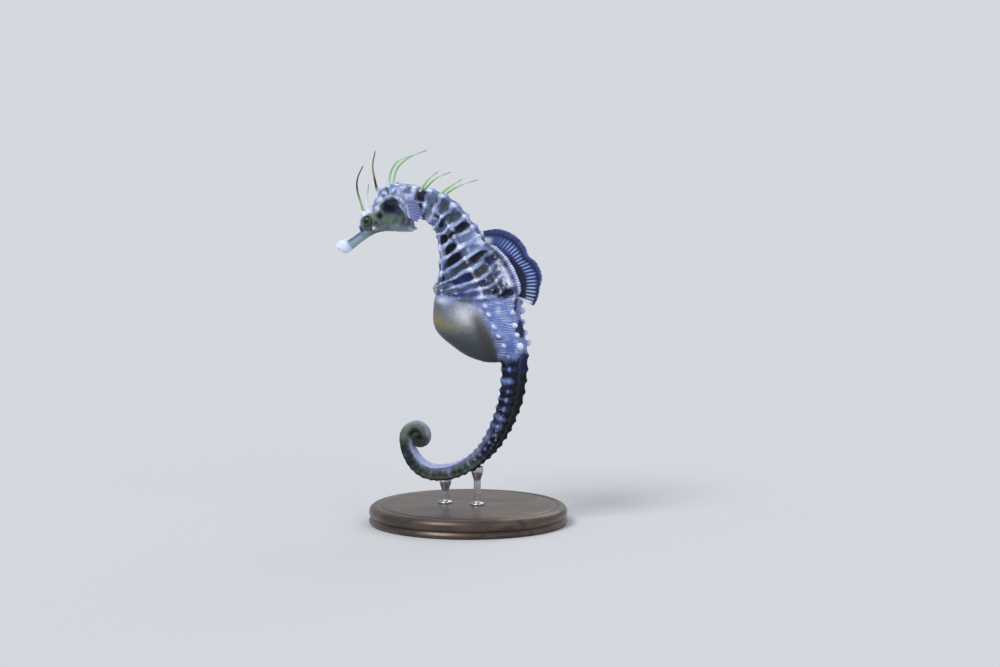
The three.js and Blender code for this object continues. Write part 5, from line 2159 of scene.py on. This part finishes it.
@dataclass
class Stand(Piece):
    """Flat turned base and two short rods that cradle the tail."""

    radius: float = 42.0
    height: float = 8.0
    rod_radius: float = 1.5
    cup_radius: float = 2.6
    cup_depth: float = 2.2
    clearance: float = 0.04
    cradle: float = 1.5
    base_sides: int = 160
    rod_sides: int = 64
    rods: tuple[tuple[str, float, float], ...] = (("front", -10.2, 22.0), ("rear", 4.0, 27.0))

    def build(self, skin: Object, wear: Tree) -> None:
        """Makes the base and the rods.

        Args:
            skin: the skin that the cups fit under.
            wear: the light wear group.
        """
        base = new_piece("stand_disc", turned(self.base_outline(), self.base_sides))
        self.tie(base, Wood().make(wear), ["stand_base"], "stand_wood")
        steel = BrushedSteel().make(wear)
        tree = BVHTree.FromObject(skin, bpy.context.evaluated_depsgraph_get())
        for name, x, top in self.rods:
            rod = new_piece(f"stand_support_{name}", self.rod_rows(x, top, tree))
            weld(rod.data)
            self.tie(rod, steel, [f"stand_rod_{name}"], "stand_steel")

    def base_outline(self) -> list[tuple[float, float]]:
        """Outlines the base: a rounded foot, a quirk, a full edge and a fine bead round the top.

        Returns:
            Radius and height of each row.
        """
        r, top = self.radius, self.height
        foot = [(r - 1.8, 0.0), (r - 0.9, 0.1), (r - 0.3, 0.5), (r, 1.2), (r - 0.2, 1.9), (r - 0.9, 2.3)]
        edge = [(r - 0.9, 2.7)]
        for turn in np.linspace(-0.95, 1.5, 16):
            edge.append((r - 2.9 + 2.8 * math.cos(turn), 5.0 + 2.85 * math.sin(turn)))
        rim = [(r - 4.2, top - 0.12), (r - 4.6, top - 0.45), (r - 5.0, top - 0.45), (r - 5.4, top - 0.05)]
        return [*foot, *edge, *rim, (r - 6.2, top), (r - 20.0, top), (1.0, top)]

    def rod_rows(self, x: float, top: float, tree: BVHTree) -> Array:
        """Rows of one rod, with a collar at its foot and a cup under the tail.

        Args:
            x: where it stands.
            top: height of the cup's rim.
            tree: the skin, in metres.

        Returns:
            The points, as rows.
        """
        r, cup, deep, floor = self.rod_radius, self.cup_radius, self.cup_depth, self.height
        outline = [(r + 1.3, floor - 0.2), (r + 1.5, floor + 0.2), (r + 1.45, floor + 0.6),
                   (r + 1.1, floor + 0.9), (r + 0.3, floor + 1.05), (r, floor + 1.3)]
        outline += [(r, z) for z in np.linspace(floor + 2.0, top - 4 * deep - 0.3, 8)]
        for share in np.linspace(0.0, 1.0, 9):
            outline.append((r + (cup - r) * float(ease(0, 1, np.array(share))), top - (4 - 2 * share) * deep))
        outline += [(cup, z) for z in np.linspace(top - 1.8 * deep, top, 10)]
        outline += [(cup * share, top) for share in (0.94, 0.8, 0.6, 0.4, 0.2, 0.05)]
        rows = turned(outline, self.rod_sides, (x, 0.0))
        half = len(rows) // 2
        upper = rows[half:].reshape(-1, 3)
        starts = [Vector((px * MM, py * MM, (floor + 1.5) * MM)) for px, py, _ in upper]
        hits = [tree.ray_cast(start, Vector((0.0, 0.0, 1.0)))[0] for start in starts]
        heights = np.array([top if hit is None else hit.z / MM - self.clearance for hit in hits])
        rings = np.minimum(heights, heights.min() + self.cradle).reshape(-1, self.rod_sides)
        calm = np.min([np.roll(rings, turn, 1) for turn in range(-3, 4)], axis=0)
        rows[half:, :, 2] = np.minimum(rows[half:, :, 2], calm)
        return rows


# Studio


def outward(azimuth: float, elevation: float) -> Vector:
    """Way from the model to a lamp or the camera that stands at these angles, in degrees."""
    across, up = math.radians(azimuth), math.radians(elevation)
    return Vector((math.sin(across) * math.cos(up), -math.cos(across) * math.cos(up), math.sin(up)))


@dataclass(frozen=True)
class Lamp:
    """Distant lamp: where it shines from, its strength and how soft it is."""

    name: str
    azimuth: float
    elevation: float
    strength: float
    softness: float

    def build(self) -> None:
        """Adds the lamp to the scene."""
        data = bpy.data.lights.new(self.name, "SUN")
        data.energy = self.strength
        data.angle = math.radians(self.softness)
        towards = outward(self.azimuth, self.elevation)
        show(self.name, data).rotation_euler = towards.to_track_quat("Z", "Y").to_euler()


@dataclass(frozen=True)
class Studio:
    """Plain pale floor, soft light and the camera."""

    floor_size: float = 12.0
    floor_tone: Triple = (0.60, 0.62, 0.65)
    sky_tone: Triple = (0.95, 0.97, 1.0)
    sky_strength: float = 0.5
    lamps: tuple[Lamp, ...] = (
        Lamp("key", -25.0, 50.0, 1.8, 24.0), Lamp("side", 60.0, 30.0, 0.35, 40.0),
        Lamp("back", 170.0, 40.0, 0.6, 40.0))
    azimuth: float = 18.0
    elevation: float = 8.0
    distance: float = 2.333
    lens: float = 200.0
    sensor: float = 36.0
    clip: tuple[float, float] = (0.1, 100.0)
    target: Triple = (0.0141, 0.0, 0.0814)

    def build(self) -> None:
        """Makes the whole studio."""
        self.lay_floor()
        self.light()
        self.set_camera()
        bpy.context.scene.view_settings.view_transform = "Standard"

    def lay_floor(self) -> None:
        """Lays the floor under the stand."""
        half = self.floor_size / 2
        corners = [(-half, -half, 0.0), (half, -half, 0.0), (half, half, 0.0), (-half, half, 0.0)]
        mesh = bpy.data.meshes.new("studio_floor")
        mesh.from_pydata(corners, [], [(0, 1, 2, 3)])
        finish = Finish("studio_paper")
        cloud = finish.noise(finish.place(), 3.0, Detail=2.0)
        paler = tuple(part * 1.02 for part in self.floor_tone)
        finish.set("Base Color", finish.blend(cloud, (*self.floor_tone, 1.0), (*paler, 1.0)))
        finish.set("Roughness", 0.9)
        finish.set("Specular IOR Level", 0.1)
        mesh.materials.append(finish.material)
        floor = show("studio_floor", mesh)

    def light(self) -> None:
        """Sets the sky and the lamps."""
        world = bpy.data.worlds.new("studio_sky")
        bpy.context.scene.world = world
        world.use_nodes = True
        sky = world.node_tree.nodes["Background"]
        sky.inputs["Color"].default_value = (*self.sky_tone, 1.0)
        sky.inputs["Strength"].default_value = self.sky_strength
        for lamp in self.lamps:
            lamp.build()

    def set_camera(self) -> None:
        """Places the camera."""
        data = bpy.data.cameras.new("camera")
        data.lens = self.lens
        data.sensor_width = self.sensor
        data.clip_start, data.clip_end = self.clip
        camera = show("camera", data)
        away = outward(self.azimuth, self.elevation)
        camera.location = Vector(self.target) + away * self.distance
        camera.rotation_euler = away.to_track_quat("Z", "Y").to_euler()
        bpy.context.scene.camera = camera


def main() -> None:
    """Builds the model piece by piece."""
    logging.basicConfig(level=logging.INFO, format="%(name)s: %(message)s")
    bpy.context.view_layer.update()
    skin_group, wear = living_skin_group(), worn_group()
    skin = Skin().build(skin_group)
    Eyes().build(skin_group)
    Fins().build(skin_group)
    Filaments().build(skin_group)
    Stand().build(skin, wear)
    Studio().build()


if __name__ == "__main__":
    main()
